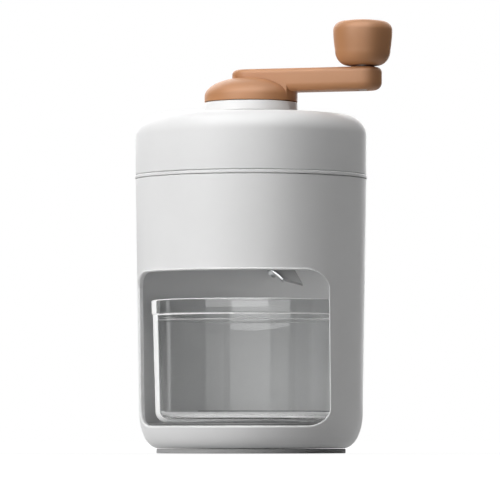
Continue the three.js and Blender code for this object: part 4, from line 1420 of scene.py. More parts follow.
@dataclass
class CuttingUnit:
    """The ice chamber, its floor with the slot, and the blade on its block."""

    turn: float = math.radians(16.5)
    slope: float = math.radians(40.8)
    under_height: float = 111.3
    floor_top: float = 114.3
    floor_radius: float = 62.0
    inner_radius: float = 59.6
    lip_radius: float = 57.5
    lip_top: float = 112.7
    top_radius: float = 64.6
    mouth_radius: float = 62.2
    flange_bottom: float = 162.8
    flange_top: float = 164.8
    flange_radius: float = 69.0
    wall: float = 2.4
    slot_left: float = 4.0
    slot_inner: float = 9.0
    slot_outer: float = 55.0
    edge_offset: float = 2.9
    edge_height: float = 114.6
    thickness: float = 1.2
    bevel: float = 2.4
    screw_down: float = 13.0
    blade_screws: Pair = (25.84, 38.6)
    holder_offset: float = 20.0
    holder_screws: Pair = (18.0, 46.0)
    notch_low: float = 160.1
    notch_inner: float = 60.2
    notch_outer: float = 63.4
    notch_half_width: float = 6.4

    def chamber(self) -> Piece:
        """The round wall with its flange and the three notches for the lid's lugs.

        Returns:
            The piece.
        """
        piece = ring(
            "ice_chamber_wall",
            (self.lip_radius, self.under_height, 0.3), (self.inner_radius, self.under_height, 0.8),
            (self.floor_radius, self.under_height + self.wall, 1.0),
            (self.top_radius, self.flange_bottom, 0.4), (self.flange_radius, self.flange_bottom, 0.5),
            (self.flange_radius, self.flange_top, 0.5), (self.mouth_radius, self.flange_top, 0.6),
            (self.inner_radius, self.floor_top), (self.inner_radius, self.lip_top),
            (self.lip_radius, self.lip_top, 0.2),
            columns=ROUND_COLUMNS,
        )
        low = (self.notch_inner, -self.notch_half_width, self.notch_low)
        high = (self.notch_outer, self.notch_half_width, self.flange_top + 2)
        return combine(piece, Operation.CUT, boxes_round(low, high))

    def plane_at(self, height: float, out: float) -> float:
        """Where the plane at a distance out from the blade's face meets a height."""
        down = (self.edge_height - height) / math.tan(self.slope)
        return self.edge_offset + down + out / math.sin(self.slope)

    def slot(self) -> Draft:
        """The slot that the blade's edge looks through.

        Returns:
            The solid that is cut away, in millimetres.
        """
        low, high = self.under_height - 2, self.floor_top + 2
        seat = self.thickness + GAP
        left, under, over = -self.slot_left, self.plane_at(low, seat), self.plane_at(high, seat)
        section = [(left, low), (under, low), (over, high), (left, high)]
        reaches = (self.slot_inner, self.slot_outer)
        mesh = lofted([np.array([(x, -reach, z) for x, z in section]) for reach in reaches], capped=True)
        mesh.transform(Matrix.Rotation(self.turn, 4, "Z"))
        return mesh

    def turned_place(self, x: float, distance: float, z: float) -> Triple:
        """A place in the blade's own frame, as a place in the part's frame."""
        return tuple(Matrix.Rotation(self.turn, 3, "Z") @ Vector((x, -distance, z)))

    def floor(self) -> Piece:
        """The chamber's floor with its slot and the sunk seats of two screws.

        Returns:
            The piece.
        """
        lip, edge, ledge = self.lip_radius - GAP, self.inner_radius - GAP, self.lip_top + GAP
        profile = knees(
            (0.0, self.under_height), (lip, self.under_height, 0.3),
            (lip, ledge), (edge, ledge, 0.2),
            (edge, self.floor_top, 0.4), (0.0, self.floor_top),
        )
        head, shank = HOLDER_SCREW.head_radius + GAP, HOLDER_SCREW.shank_radius + GAP
        seat = self.floor_top - HOLDER_SCREW.head_height - GAP
        low, high = self.under_height - 2, self.floor_top + 2
        cuts = [self.slot()]
        for distance in self.holder_screws:
            x, y, _ = self.turned_place(self.holder_offset, distance, 0.0)
            cuts.append(plug((shank, low), (shank, seat), (head, seat), (head, high), centre=(x, y)))
        piece = combine(make("ice_chamber_floor", turned(profile)), Operation.CUT, cuts)
        return eased(piece, 0.3, angle=50.0)

    def blade_finish(self) -> GroundBlade:
        """The blade's steel, with its grinding marks and its bright bevel set by the blade's own lines.

        Returns:
            The finish.
        """
        turn = Matrix.Rotation(self.turn, 3, "Z")
        down = turn @ Vector((math.cos(self.slope), 0.0, -math.sin(self.slope)))
        edge = turn @ Vector((self.edge_offset, 0.0, self.edge_height))
        return GroundBlade(
            "ground_blade_steel", Slot.STEEL,
            (0.66, 0.67, 0.68),
            0.24, marks=(2.0, 50.0, 2.0), turn=(0.0, 0.0, -self.turn), slope=tuple(down),
            edge_at=down.dot(edge) * MM, bevel=self.bevel * MM,
        )

    def screws(self) -> list[ScrewPlaces]:
        """Places of the blade's and the block's screws.

        Returns:
            The two kinds with their places.
        """
        out = -GAP - BLADE_SCREW.head_height
        x = self.edge_offset + self.screw_down * math.cos(self.slope) + out * math.sin(self.slope)
        z = self.edge_height - self.screw_down * math.sin(self.slope) + out * math.cos(self.slope)
        blade = [(self.turned_place(x, d, z), (0.0, self.slope, self.turn)) for d in self.blade_screws]
        spots = [self.turned_place(self.holder_offset, d, self.floor_top) for d in self.holder_screws]
        holder = [(spot, (math.pi, 0.0, self.turn)) for spot in spots]
        return [ScrewPlaces(BLADE_SCREW, blade), ScrewPlaces(HOLDER_SCREW, holder)]

    def build(self) -> None:
        """Builds and dresses the chamber, the blade and its block."""
        dress(self.chamber(), WHITE, Body.HOUSING, "ice_chamber")
        dress(self.floor(), WHITE, Body.HOUSING, "chamber_floor")
        dress(refined("blade", "cutting_blade", 0.12), self.blade_finish(), Body.HOUSING, "blade")
        dress(refined("blade_holder", "blade_block", 0.5), BLOCK_PAINTED_SHADE, Body.HOUSING, "blade_holder")


@dataclass
class Cup:
    """The clear cup with its thick base, stepped mouth and banded rim."""

    centre_y: float = -4.0
    bottom: float = 18.0
    height: float = 72.5
    foot_radius: float = 55.5
    top_radius: float = 57.0
    corner: float = 7.0
    wall: float = 2.6
    base: float = 2.8
    rim_radius: float = 57.9
    rim_height: float = 8.9
    ledge_drop: float = 12.1
    ledge_width: float = 1.1

    def build(self) -> None:
        """Builds and dresses the cup."""
        top = self.bottom + self.height
        rim_bottom = top - self.rim_height
        ledge = top - self.ledge_drop
        mouth = self.top_radius - self.wall + self.ledge_width
        inner = self.corner - self.wall
        corner = self.foot_radius - self.corner
        profile = [Knee(0.0, self.bottom)]
        profile += knees((corner - 4.0, self.bottom, 0.3), (corner - 3.0, self.bottom + 0.6, 0.3))
        profile += knees((corner - 1.6, self.bottom + 0.6, 0.3), (corner - 0.8, self.bottom, 0.3))
        profile += quarter((corner, self.bottom + self.corner), self.corner, self.corner, -90.0, 0.0, 14)
        profile += knees(
            (self.top_radius, rim_bottom, 0.3), (self.rim_radius - 0.2, rim_bottom + 0.8, 0.4),
            (self.rim_radius, top, 0.9), (mouth, top, 0.7),
            (mouth, ledge, 0.5), (self.top_radius - self.wall, ledge, 0.4),
        )
        profile += quarter((corner, self.bottom + self.base + inner), inner, inner, 0.0, -90.0, 12)
        profile.append(Knee(0.0, self.bottom + self.base))
        piece = make("clear_cup", turned(profile, centre=(0.0, self.centre_y)), sharp=40.0)
        dress(piece, CLEAR, Body.CUP, "cup")


@dataclass
class Lid:
    """The lid with its liner and lugs, the neck collar, the bush and the thrust washer."""

    bottom: float = 165.1
    radius: float = 68.6
    wall: float = 2.8
    corner: float = 12.0
    corner_height: float = 188.3
    crown_top: float = 202.3
    crown_radius: float = 27.6
    liner_height: float = 188.0
    liner_thickness: float = 2.4
    liner_hole: float = 16.0
    skirt_radius: float = 61.6
    skirt_bottom: float = 160.8
    lug_depth: float = 1.4
    lug_half_width: float = 6.0
    lug_height: float = 4.0
    screw_circle: float = 45.0
    boss_radius: float = 4.2
    collar_height: float = 5.7
    collar_screw_circle: float = 23.8
    spigot_radius: float = 14.0
    spigot_bottom: float = 196.3
    bore_radius: float = 9.0
    washer_bottom: float = 207.5
    washer_inner: float = 12.0
    washer_outer: float = 20.0
    bush_bore: float = 5.9
    bush_radius: float = 8.7
    bush_flange: float = 11.0
    bush_bottom: float = 194.5

    def shell(self) -> Piece:
        """The lid's shell: an upright side, a round shoulder and a gently rising crown.

        Returns:
            The piece.
        """
        flat = self.radius - self.corner - self.crown_radius
        lean = math.degrees(math.atan2(self.crown_top - self.corner_height - self.corner, flat))
        centre = (self.radius - self.corner, self.corner_height)
        inner, hole = self.corner - self.wall, self.spigot_radius + GAP
        under = self.crown_top - self.wall
        profile = knees((hole, under, 0.2), (self.crown_radius, under))
        profile += quarter(centre, inner, inner, 90.0 - lean, 0.0, 12)
        profile += knees((self.radius - self.wall, self.bottom, 0.4), (self.radius, self.bottom, 0.6))
        profile += quarter(centre, self.corner, self.corner, 0.0, 90.0 - lean, 20)
        profile += knees((self.crown_radius, self.crown_top), (hole, self.crown_top, 0.2))
        foot = self.liner_height + self.liner_thickness + GAP
        boss = ((self.boss_radius, foot, 0.3), (self.boss_radius, self.corner_height + self.corner - 1.4))
        bosses = [plug(*boss, centre=place) for place in self.liner_screw_places()]
        return combine(make("lid_shell_moulding", turned(profile, closed=True)), Operation.JOIN, bosses)

    def liner_screw_places(self) -> list[Pair]:
        """Places of the liner's screws."""
        return round_places(3, self.screw_circle, math.pi / 2)

    def liner(self) -> Piece:
        """The liner: a plate, a skirt that fits in the chamber's mouth and three lugs.

        Returns:
            The piece.
        """
        inner, outer = self.skirt_radius - self.liner_thickness, self.skirt_radius
        foot, plate, top = self.skirt_bottom, self.liner_height, self.liner_height + self.liner_thickness
        piece = ring(
            "lid_liner_moulding",
            (self.liner_hole, plate, 0.3), (inner, plate, 2.4),
            (inner, foot, 0.6), (outer, foot, 0.6),
            (outer, plate, 0.3), (inner, top, 0.3),
            (self.liner_hole, top, 0.3),
            columns=ROUND_COLUMNS,
        )
        low = (inner + self.liner_thickness / 2, -self.lug_half_width, foot)
        high = (outer + self.lug_depth, self.lug_half_width, foot + self.lug_height)
        combine(piece, Operation.JOIN, boxes_round(low, high))
        shank = CASE_SCREW.shank_radius + GAP
        places = self.liner_screw_places()
        holes = [plug((shank, plate - 2), (shank, top + 2), centre=place) for place in places]
        return combine(piece, Operation.CUT, holes)

    def collar(self) -> Piece:
        """The neck collar with its spigot and the sunk seat of the thrust washer.

        Returns:
            The piece.
        """
        low = self.crown_top + GAP
        high, sunk = low + self.collar_height, self.washer_bottom - GAP
        return ring(
            "neck_collar_moulding",
            (self.bore_radius, self.spigot_bottom, 0.2), (self.spigot_radius, self.spigot_bottom, 0.3),
            (self.spigot_radius, low), (self.crown_radius, low, 0.4),
            (self.crown_radius, high, 0.6), (self.washer_outer + GAP, high, 0.2),
            (self.washer_outer + GAP, sunk), (self.bore_radius, sunk, 0.2),
            columns=ROUND_COLUMNS,
        )

    def bush(self) -> Piece:
        """The flanged bush that the shaft turns in.

        Returns:
            The piece.
        """
        low, flange, high = self.bush_bottom, self.bush_bottom + 1.5, self.washer_bottom - GAP
        return ring(
            "flanged_bush",
            (self.bush_bore, low, 0.3), (self.bush_flange, low, 0.3),
            (self.bush_flange, flange, 0.3), (self.bush_radius, flange),
            (self.bush_radius, high, 0.2), (self.bush_bore, high, 0.2),
        )

    def screws(self) -> list[ScrewPlaces]:
        """Places of the liner's and the collar's screws.

        Returns:
            The two kinds with their places.
        """
        liner = upright(self.liner_screw_places(), self.liner_height - GAP - CASE_SCREW.head_height)
        under = self.crown_top - self.wall - GAP - COLLAR_SCREW.head_height
        collar = upright(round_places(3, self.collar_screw_circle, math.pi / 2), under)
        return [ScrewPlaces(CASE_SCREW, liner), ScrewPlaces(COLLAR_SCREW, collar)]

    def build(self) -> None:
        """Builds and dresses the lid's pieces."""
        dress(self.shell(), WHITE, Body.LID, "lid_shell")
        dress(self.liner(), WHITE, Body.LID, "lid_liner")
        dress(self.collar(), WHITE, Body.LID, "neck_collar")
        dress(self.bush(), BEARING, Body.LID, "shaft_bush")
        heights = (self.washer_bottom, self.crown_top + GAP + self.collar_height)
        slip = washer("slip_washer", self.washer_inner, self.washer_outer, heights, (0.15, 0.15))
        dress(slip, BEARING, Body.LID, "thrust_washer")


@dataclass
class Crank:
    """The domed hub, the arm let into it, the drive shaft and what sits on the shaft."""

    hub_bottom: float = 208.6
    hub_radius: float = 27.7
    hub_side: float = 3.4
    dome_height: float = 11.7
    arm_half_width: float = 11.3
    arm_reach: float = 69.1
    arm_bottom: float = 214.3
    arm_top: float = 227.8
    arm_top_rounding: float = 3.0
    arm_under_rounding: float = 4.6
    tongue_setback: float = 14.0
    slot_gap: float = 0.12
    flange_radius: float = 11.5
    flange_bottom: float = 208.9
    flange_top: float = 211.1
    journal_radius: float = 5.6
    journal_bottom: float = 186.5
    shaft_bottom: float = 121.8
    shaft_flats: float = 8.0
    shaft_corner: float = 5.3
    clip_bottom: float = 193.2
    clip_top: float = 194.2
    groove_depth: float = 1.0
    seat_bottom: float = 191.4
    seat_top: float = 192.9
    seat_radius: float = 12.5
    sleeve_bottom: float = 187.0
    end_washer_radius: float = 9.0
    end_washer_bottom: float = 120.3
    end_washer_top: float = 121.5
    screw_circle: float = 8.0
    knob_washer_bottom: float = 228.1
    knob_washer_top: float = 228.6
    knob_washer_radius: float = 7.0
    axle_radius: float = 4.2
    axle_bottom: float = 219.3
    barb_bottom: float = 243.9
    barb_radius: float = 5.6

    def bar(self, grow: float = 0.0) -> Draft:
        """The arm's rounded bar.

        Args:
            grow: how much larger it is on every side.

        Returns:
            The bar in millimetres.
        """
        levels = []
        for rounding, centre, first in (
            (self.arm_under_rounding, self.arm_bottom + self.arm_under_rounding, -90),
            (self.arm_top_rounding, self.arm_top - self.arm_top_rounding, 0),
        ):
            for a in np.radians(np.linspace(first, first + 90, 10)):
                levels.append((-rounding + rounding * math.cos(a), centre + rounding * math.sin(a)))
        middle = (self.arm_bottom + self.arm_top) / 2
        sweep = [(math.sin(a), math.cos(a)) for a in np.linspace(0, math.pi, 49)]
        rings = []
        for inset, height in levels:
            radius = self.arm_half_width + inset + grow
            outline = [(-radius * sine, radius * cosine) for sine, cosine in sweep]
            outline += [(self.arm_reach + radius * sine, -radius * cosine) for sine, cosine in sweep]
            level = height + math.copysign(grow, height - middle)
            rings.append(np.array([(x, y, level) for x, y in outline]))
        return lofted(rings, capped=True)

    def tongue(self, grow: float, radius: float, low: float) -> Draft:
        """The tongue that fills the hub's outline under the arm.

        Args:
            grow: how much larger it is at its sides and back.
            radius: radius of its outer face.
            low: height of its foot.

        Returns:
            The tongue in millimetres.
        """
        half = self.arm_half_width + grow
        span = math.asin(half / radius)
        outline = [(self.tongue_setback - grow, -half)]
        outline += [(radius * math.cos(a), radius * math.sin(a)) for a in np.linspace(-span, span, 25)]
        outline.append((self.tongue_setback - grow, half))
        return prism(outline, low, self.arm_bottom + self.arm_under_rounding + 1.5)

    def hub(self) -> Piece:
        """The dome, cut open for the arm, its tongue and the shaft's flange.

        Returns:
            The piece.
        """
        start, under = self.hub_bottom + self.hub_side, self.hub_bottom - 2
        profile = knees((0.0, self.hub_bottom), (self.hub_radius, self.hub_bottom, 0.4))
        profile += quarter((0.0, start), self.hub_radius, self.dome_height, 0.0, 88.0, 36)
        profile.append(Knee(0.0, start + self.dome_height))
        seat = self.flange_radius + GAP
        cuts = [
            self.bar(self.slot_gap), self.tongue(self.slot_gap, self.hub_radius + 2, under),
            plug((seat, under), (seat, self.flange_top + GAP)),
        ]
        return combine(make("domed_hub", turned(profile)), Operation.CUT, cuts)

    def arm(self) -> Piece:
        """The arm with its tongue and the sunk seat of the axle's screw.

        Returns:
            The piece.
        """
        piece = make("crank_arm_moulding", self.bar())
        combine(piece, Operation.JOIN, [self.tongue(0.0, self.hub_radius, self.hub_bottom + GAP)])
        head, shank = AXLE_SCREW.head_radius + GAP, AXLE_SCREW.shank_radius + GAP
        hole = self.axle_radius + GAP
        seat, step = self.arm_bottom + (AXLE_SCREW.head_height + GAP), self.axle_bottom - GAP
        sunk = plug(
            (head, self.arm_bottom - 2), (head, seat),
            (shank, seat), (shank, step),
            (hole, step), (hole, self.arm_top + 2),
            centre=(self.arm_reach, 0.0),
        )
        return combine(piece, Operation.CUT, [sunk])

    def shaft(self) -> Piece:
        """The shaft: a flange under the hub, a turned journal with a groove and a long square length.

        Returns:
            The piece.
        """
        groove_low, groove_high = self.clip_bottom - GAP, self.clip_top + GAP
        journal, groove = self.journal_radius, self.journal_radius - self.groove_depth
        profile = [Knee(0.0, self.shaft_bottom)]
        for height in (self.shaft_bottom, self.journal_bottom):
            profile.append(Knee(self.shaft_corner, height, square=True))
        profile += knees(
            (journal, self.journal_bottom + 0.2), (journal, groove_low),
            (groove, groove_low), (groove, groove_high),
            (journal, groove_high), (journal, self.flange_bottom),
            (self.flange_radius, self.flange_bottom, 0.3), (self.flange_radius, self.flange_top, 0.3),
            (0.0, self.flange_top),
        )
        return make("square_drive_shaft", turned(profile, columns=SMALL_COLUMNS, flats=self.shaft_flats))

    def spring_cup(self) -> Piece:
        """The seat that the spring pushes up against.

        Returns:
            The piece.
        """
        bore = self.journal_radius + GAP
        return ring(
            "spring_seat_ring",
            (bore, self.sleeve_bottom, 0.2), (bore + 1.5, self.sleeve_bottom, 0.3),
            (bore + 1.5, self.seat_bottom, 0.3), (self.seat_radius, self.seat_bottom, 0.3),
            (self.seat_radius, self.seat_top, 0.3), (bore, self.seat_top, 0.2),
        )

    def washers(self) -> tuple[Piece, Piece]:
        """The washer that keeps the pusher on the shaft and the thin one under the knob.

        Returns:
            The two pieces.
        """
        heights = (self.end_washer_bottom, self.end_washer_top)
        bore = END_SCREW.shank_radius + GAP
        end = washer("pusher_end_washer", bore, self.end_washer_radius, heights, (0.1, 0.3))
        heights, centre = (self.knob_washer_bottom, self.knob_washer_top), (self.arm_reach, 0.0)
        bore, radius = self.axle_radius + GAP, self.knob_washer_radius
        return end, washer("knob_slip_washer", bore, radius, heights, (0.0, 0.1), centre)

    def axle(self) -> Piece:
        """The knob's axle with its barb.

        Returns:
            The piece.
        """
        centre = (self.arm_reach, 0.0)
        top = self.barb_bottom + 3.0
        pin = plug(
            (self.axle_radius, self.axle_bottom, 0.2), (self.axle_radius, self.barb_bottom, 0.2),
            (self.barb_radius, self.barb_bottom, 0.2), (self.barb_radius, self.barb_bottom + 1.5, 0.3),
            (self.axle_radius, top, 0.3), (self.axle_radius / 2, top + 1.6, 0.3),
            centre=centre,
        )
        bore = AXLE_SCREW.shank_radius + GAP
        depth = self.arm_bottom + AXLE_SCREW.head_height + AXLE_SCREW.length + GAP
        hole = plug((bore, self.axle_bottom - 2), (bore, depth), centre=centre)
        return combine(make("knob_axle_pin", pin), Operation.CUT, [hole])

    def screws(self) -> list[ScrewPlaces]:
        """Places of the screws in the hub, the arm and the shaft's end.

        Returns:
            The three kinds with their places.
        """
        end = self.shaft_bottom - 2 * GAP - 1.2 - END_SCREW.head_height
        return [
            ScrewPlaces(SMALL_SCREW, upright(round_places(3, self.screw_circle), self.hub_bottom + GAP)),
            ScrewPlaces(AXLE_SCREW, upright([(self.arm_reach, 0.0)], self.arm_bottom)),
            ScrewPlaces(END_SCREW, upright([(0.0, 0.0)], end)),
        ]

    def build(self) -> None:
        """Builds and dresses the crank's pieces."""
        dress(self.hub(), BROWN, Body.CRANK, "crank_hub")
        dress(self.arm(), BROWN, Body.CRANK, "crank_arm")
        dress(self.shaft(), TURNED_STEEL, Body.CRANK, "drive_shaft")
        dress(refined("shaft_clip", "shaft_clip_ring", 0.1), TURNED_STEEL, Body.CRANK, "shaft_clip")
        dress(self.spring_cup(), BEARING, Body.CRANK, "spring_seat")
        end_washer, knob_washer = self.washers()
        dress(end_washer, TURNED_STEEL, Body.CRANK, "end_washer")
        dress(knob_washer, GAP_SHADE_BEARING, Body.CRANK, "knob_washer")
        dress(self.axle(), TURNED_STEEL, Body.CRANK, "knob_axle")


@dataclass
class FeedSpring:
    """The coil spring round the shaft, made by a rule: close turns at both ends and an even pitch between."""

    radius: float = 9.2
    wire: float = 0.75
    low: float = 124.7
    high: float = 191.1
    turns: int = 9
    end_pitch: float = 2.1
    steps: int = 60
    sides: int = 12

    def generator(self) -> Generator:
        """Writes the spring's tree.

        Returns:
            The tree, ready to run.
        """
        lengths = ("Coil Radius", "Wire Radius", "Foot Height", "Top Height", "End Pitch")
        made = Generator("coil_spring", lengths, ("Turns", "Points"))
        nodes, turns = made.nodes, made.given("Turns")
        radius, wire, foot, top, end_pitch = made.sizes()
        line = nodes.add("GeometryNodeCurvePrimitiveLine", {"End": UP})
        fine = nodes.add("GeometryNodeResampleCurve", {"Curve": line, "Count": made.given("Points")})
        turn = nodes.add("GeometryNodeSplineParameter", output="Factor") * turns
        low, high = foot + wire, top - wire
        middle_turns = (turn - 1).maximum(0.0).minimum(turns - 2)
        middle_pitch = (high - low - end_pitch * 2) / (turns - 2)
        height = low + (turn - middle_turns) * end_pitch + middle_turns * middle_pitch
        angle = turn * (2 * math.pi)
        spot = nodes.vector(radius * angle.cosine(), radius * angle.sine(), height)
        coil = nodes.add("GeometryNodeSetPosition", {"Geometry": fine, "Position": spot})
        section = nodes.add(
            "GeometryNodeCurvePrimitiveCircle", {"Resolution": self.sides, "Radius": wire}, mode="RADIUS"
        )
        shape = {"Curve": coil, "Profile Curve": section, "Fill Caps": True}
        made.finish(nodes.add("GeometryNodeCurveToMesh", shape))
        return made

    def build(self) -> None:
        """Builds the spring, which stretches between the crank and the pusher."""
        piece = linked("coil_feed_spring", bpy.data.meshes.new("coil_feed_spring"))
        sizes = (self.radius, self.wire, self.low, self.high, self.end_pitch)
        self.generator().run(piece, SPRING_STEEL, sizes, (self.turns, self.turns * self.steps + 1))
        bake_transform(piece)
        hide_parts("feed_spring")
        log.info("%s: %d faces", piece.name, len(piece.data.polygons))


@dataclass
class Pusher:
    """The toothed plate that presses on the ice, with ribs and a rim that keep it stiff."""

    bottom: float = 121.8
    thickness: float = 2.6
    radius: float = 52.0
    rim_width: float = 2.0
    rim_height: float = 3.4
    boss_radius: float = 7.6
    boss_height: float = 8.0
    flats: float = 8.6
    corner: float = 5.6
    rib_count: int = 4
    rib_start: float = 11.5
    rib_height: float = 4.4
    rib_thickness: float = 2.0
    tooth_radius: float = 4.0
    tooth_length: float = 6.0
    tooth_circles: Pair = (22.0, 42.0)
    tooth_sides: int = 4
    tooth_tip: float = 0.3

    def plate(self) -> Piece:
        """The plate with its rim and its square-bored boss.

        Returns:
            The piece.
        """
        top = self.bottom + self.thickness
        rim_inner = self.radius - self.rim_width
        boss_top = top + self.boss_height
        profile = [Knee(self.corner, self.bottom, 0.0, True)]
        profile += knees(
            (self.radius, self.bottom, 0.6), (self.radius, top + self.rim_height, 0.6),
            (rim_inner, top + self.rim_height, 0.6), (rim_inner, top, 0.8),
            (self.boss_radius, top, 1.0), (self.boss_radius, boss_top, 0.5),
        )
        profile.append(Knee(self.corner, boss_top, 0.0, True))
        return make("toothed_pusher", turned(profile, closed=True, columns=128, flats=self.flats))

    def generator(self) -> Generator:
        """Writes the tree that sets the ribs and the teeth round the plate.

        Returns:
            The tree, ready to run.
        """
        lengths = [f"Rib {side}" for side in ("Start", "End", "Foot", "Top", "Thickness")]
        lengths += ["Tooth Radius", "Tooth Length", "Plate Foot", "Plate Thickness"]
        made = Generator("ribs_and_teeth", [*lengths, "Inner Circle", "Outer Circle"], ["Count"])
        nodes = made.nodes
        start, end, foot, top, width, tooth, length, plate, depth, inner, outer = made.sizes()
        rib = nodes.add("GeometryNodeMeshCube", {"Size": nodes.vector(end - start, width, top - foot)})
        rib = nodes.moved(rib, nodes.vector((start + end) * 0.5, 0.0, (foot + top) * 0.5))
        spike = nodes.cone(self.tooth_sides, self.tooth_tip * MM, tooth, length + depth * 0.5)
        whole = [made.given("Geometry")]
        for radius, offset in ((inner, 0.0), (outer, 0.5)):
            spot = nodes.vector(radius, 0.0, plate + depth * 0.5)
            whole.append(self.ring_of(made, nodes.moved(spike, spot, (math.pi, 0.0, 0.0)), offset))
        whole.append(self.ring_of(made, rib, 0.5))
        made.finish(nodes.add("GeometryNodeJoinGeometry", {0: whole[::-1]}))
        return made

    def ring_of(self, made: Generator, part: Value, offset: float) -> Value:
        """Sets copies of a part round the axis.

        Args:
            made: the tree.
            part: the part, drawn on the X side.
            offset: turn of the first copy, in steps.

        Returns:
            The copies.
        """
        nodes = made.nodes
        points = nodes.add("GeometryNodePoints", {"Count": made.given("Count")})
        index = nodes.add("GeometryNodeInputIndex")
        turn = nodes.vector(0.0, 0.0, (index + offset) * (2 * math.pi / self.rib_count))
        return nodes.copied(part, points, turn)

    def build(self) -> None:
        """Builds and dresses the pusher."""
        rib_foot, plate_top = self.bottom + self.thickness / 2, self.bottom + self.thickness
        rib = (self.rib_start, self.radius - self.rim_width / 2, rib_foot, plate_top + self.rib_height)
        tooth = (self.tooth_radius, self.tooth_length, self.bottom, self.thickness, *self.tooth_circles)
        sizes = (*rib, self.rib_thickness, *tooth)
        piece = self.generator().run(self.plate(), WHITE, sizes, [self.rib_count])
        dress(piece, WHITE, Body.PUSHER, "pusher_plate")


@dataclass
class Knob:
    """The turned grip: a tucked-in foot, a slight swell and a softly crowned top."""

    centre_x: float = 69.1
    bottom: float = 228.9
    height: float = 27.1
    radius: float = 17.5
    foot_radius: float = 8.6
    foot_rounding: float = 9.0
    waist_radius: float = 16.4
    top_rounding: float = 5.5
    crown: float = 0.9
    bore: float = 4.5
    catch_radius: float = 5.9
    catch_bottom: float = 243.6
    catch_top: float = 248.8
    side_steps: int = 14
    crown_shape: tuple[Pair, ...] = ((0.4, 0.25), (0.2, 0.06), (0.0, 0.0))

    def build(self) -> None:
        """Builds and dresses the knob."""
        shoulder = self.bottom + self.height - self.crown - self.top_rounding
        profile = knees(
            (0.0, self.catch_top), (self.catch_radius, self.catch_top),
            (self.catch_radius, self.catch_bottom), (self.bore, self.catch_bottom),
            (self.bore, self.bottom, 0.2),
        )
        reach = self.waist_radius - self.foot_radius
        centre = (self.foot_radius, self.bottom + self.foot_rounding)
        profile += quarter(centre, reach, self.foot_rounding, -90.0, 0.0, 12)
        profile += self.side(shoulder)
        corner = (self.radius - self.top_rounding, shoulder)
        profile += quarter(corner, self.top_rounding, self.top_rounding, 8.0, 86.0, 14)
        for share, drop in self.crown_shape:
            profile.append(Knee(self.radius * share, self.bottom + self.height - self.crown * drop))
        piece = make("turned_knob", turned(profile, centre=(self.centre_x, 0.0)))
        dress(piece, BROWN, Body.KNOB, "knob")

    def side(self, high: float) -> list[Knee]:
        """The side's gentle swell from the waist to the widest place.

        Args:
            high: height at which the top's rounding starts.

        Returns:
            Points of the side.
        """
        low, swell = self.bottom + self.foot_rounding, self.radius - self.waist_radius
        points = []
        for step in range(1, self.side_steps + 1):
            share = step / self.side_steps
            radius = self.waist_radius + swell * math.sin(share * math.pi / 2)
            points.append(Knee(radius, low + (high - low) * share))
        return points


# Studio


@dataclass(frozen=True)
class Lamp:
    """A rectangular lamp, in metres and watts, turned and raised by degrees from the camera's side."""

    name: str
    turn: float
    rise: float
    distance: float
    size: Pair
    power: float
    glow: Glow = Glow.BOTH


